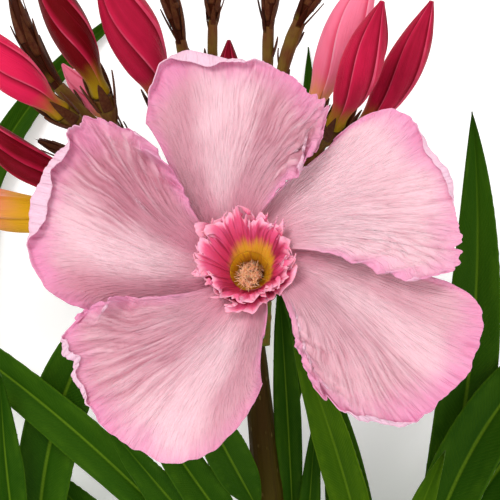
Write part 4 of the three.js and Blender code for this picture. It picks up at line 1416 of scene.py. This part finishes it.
class OLEANDER_OT_buds(GrowingStep):
    """Grows the furled buds"""

    bl_idname = "oleander.buds"
    bl_label = "Buds"

    def grow(self, looks, sizes):
        for name in BUDS:
            make_bud(name, looks, sizes)


class OLEANDER_OT_leaves(GrowingStep):
    """Grows the leaves"""

    bl_idname = "oleander.leaves"
    bl_label = "Leaves"

    def grow(self, looks, sizes):
        for name in LEAVES:
            make_leaf(name, looks, sizes)


class OLEANDER_OT_stems(GrowingStep):
    """Grows the stem, its side shoots and the branches of the flower cluster"""

    bl_idname = "oleander.stems"
    bl_label = "Stems"

    def grow(self, looks, sizes):
        for name in LIMBS:
            make_limb(name, looks)
        for name in CLUSTERS:
            make_stalk(name, looks)


class OLEANDER_OT_stage(bpy.types.Operator):
    """Lays a pale floor, hangs soft lights and sets the camera above the bloom"""

    bl_idname = "oleander.stage"
    bl_label = "Stage"

    def execute(self, context):
        sizes = context.scene.oleander_sizes
        low, high = (Vector(corner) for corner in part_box("corona"))
        bloom = (low + high) / 2
        lay_floor()
        hang_lights(bloom)
        set_camera(sizes, bloom)
        return {"FINISHED"}


FLOOR_HALF = 1.5
FLOOR_DROP = 0.0002              # just under the shoot, so that no face lies in the floor's
FLOOR_GLOW = 0.22
ROOM_GLOW = 0.72
LIGHTS = (                       # name, place from the bloom in metres, size, power, tone
    ("key_light", (-0.30, 0.35, 0.60), 0.36, 3.6, (1.0, 0.99, 0.97)),
    ("fill_light", (0.40, -0.15, 0.75), 0.60, 2.0, (1.0, 1.0, 1.0)),
    ("low_fill_light", (-0.20, -0.45, 0.70), 0.60, 1.6, (1.0, 1.0, 1.0)),
)
SENSOR_WIDTH = 36.0
VIEW_OFF = (0.0009, 0.0002, -0.002)      # from above the corona's middle, in metres


def floor_finish():
    """Plain and nearly white, with a faint glow that keeps its shadows light."""
    finish = Finish("pale_floor", {"Specular IOR Level": 0.1, "Emission Strength": FLOOR_GLOW})
    speck = finish.grain(60.0, 4.0)
    shade = finish.mix(speck, (0.95, 0.95, 0.95), (0.98, 0.98, 0.98))
    return finish.dress(shade, 0.85 + speck * 0.1, speck, 0.02)


def lay_floor():
    """A wide flat floor under the shoot."""
    mesh = bpy.data.meshes.new("pale_floor")
    corners = [(x * FLOOR_HALF, y * FLOOR_HALF, -FLOOR_DROP) for x, y in ((-1, -1), (1, -1), (1, 1), (-1, 1))]
    mesh.from_pydata(corners, [], [(0, 1, 2, 3)])
    mesh.materials.append(floor_finish())
    place_in_scene("pale_floor", mesh)


def hang_lights(aim):
    """A key light from the upper left, two weaker ones round it, and an even pale room."""
    for name, offset, wide, power, tone in LIGHTS:
        light = bpy.data.lights.new(name, "AREA")
        light.shape, light.size, light.energy, light.color = "DISK", wide, power, tone
        lamp = place_in_scene(name, light)
        lamp.location = aim + Vector(offset)
        lamp.rotation_euler = (aim - lamp.location).to_track_quat("-Z", "Y").to_euler()
    world = bpy.data.worlds.new("pale_room")
    world.use_nodes = True
    background = world.node_tree.nodes["Background"].inputs
    background["Color"].default_value = (1.0, 1.0, 1.0, 1.0)
    background["Strength"].default_value = ROOM_GLOW
    bpy.context.scene.world = world
    bpy.context.scene.view_settings.view_transform = "Standard"


def set_camera(sizes, aim):
    """Straight above the bloom, looking down."""
    data = bpy.data.cameras.new("view_from_above")
    data.sensor_width = SENSOR_WIDTH
    data.lens = SENSOR_WIDTH * sizes.camera_height / sizes.view_width
    camera = place_in_scene("view_from_above", data)
    camera.location = aim + Vector((VIEW_OFF[0], VIEW_OFF[1], sizes.camera_height + VIEW_OFF[2]))
    bpy.context.scene.camera = camera


class OLEANDER_PT_panel(bpy.types.Panel):
    """Lists the steps that grow the shoot"""

    bl_idname = "OLEANDER_PT_panel"
    bl_label = "Oleander Shoot"
    bl_space_type = "VIEW_3D"
    bl_region_type = "UI"
    bl_category = "Oleander"

    def draw(self, context):
        for step in STEPS:
            self.layout.operator(step.bl_idname)
        for group in (context.scene.oleander_sizes, context.scene.oleander_looks):
            box = self.layout.box()
            for key in group.__annotations__:
                box.prop(group, key)


STEPS = (
    OLEANDER_OT_petals, OLEANDER_OT_corona, OLEANDER_OT_throat, OLEANDER_OT_calyx, OLEANDER_OT_buds,
    OLEANDER_OT_leaves, OLEANDER_OT_stems, OLEANDER_OT_stage,
)
CLASSES = (OLEANDER_PG_looks, OLEANDER_PG_sizes) + STEPS + (OLEANDER_PT_panel,)


def register():
    for entry in CLASSES:
        bpy.utils.register_class(entry)
    bpy.types.Scene.oleander_looks = PointerProperty(type=OLEANDER_PG_looks)
    bpy.types.Scene.oleander_sizes = PointerProperty(type=OLEANDER_PG_sizes)


def unregister():
    del bpy.types.Scene.oleander_sizes
    del bpy.types.Scene.oleander_looks
    for entry in reversed(CLASSES):
        bpy.utils.unregister_class(entry)


def main():
    register()
    for step in (bpy.ops.oleander.petals, bpy.ops.oleander.corona, bpy.ops.oleander.throat,
                 bpy.ops.oleander.calyx, bpy.ops.oleander.buds, bpy.ops.oleander.leaves,
                 bpy.ops.oleander.stems, bpy.ops.oleander.stage):
        step()


if __name__ == "__main__":
    main()
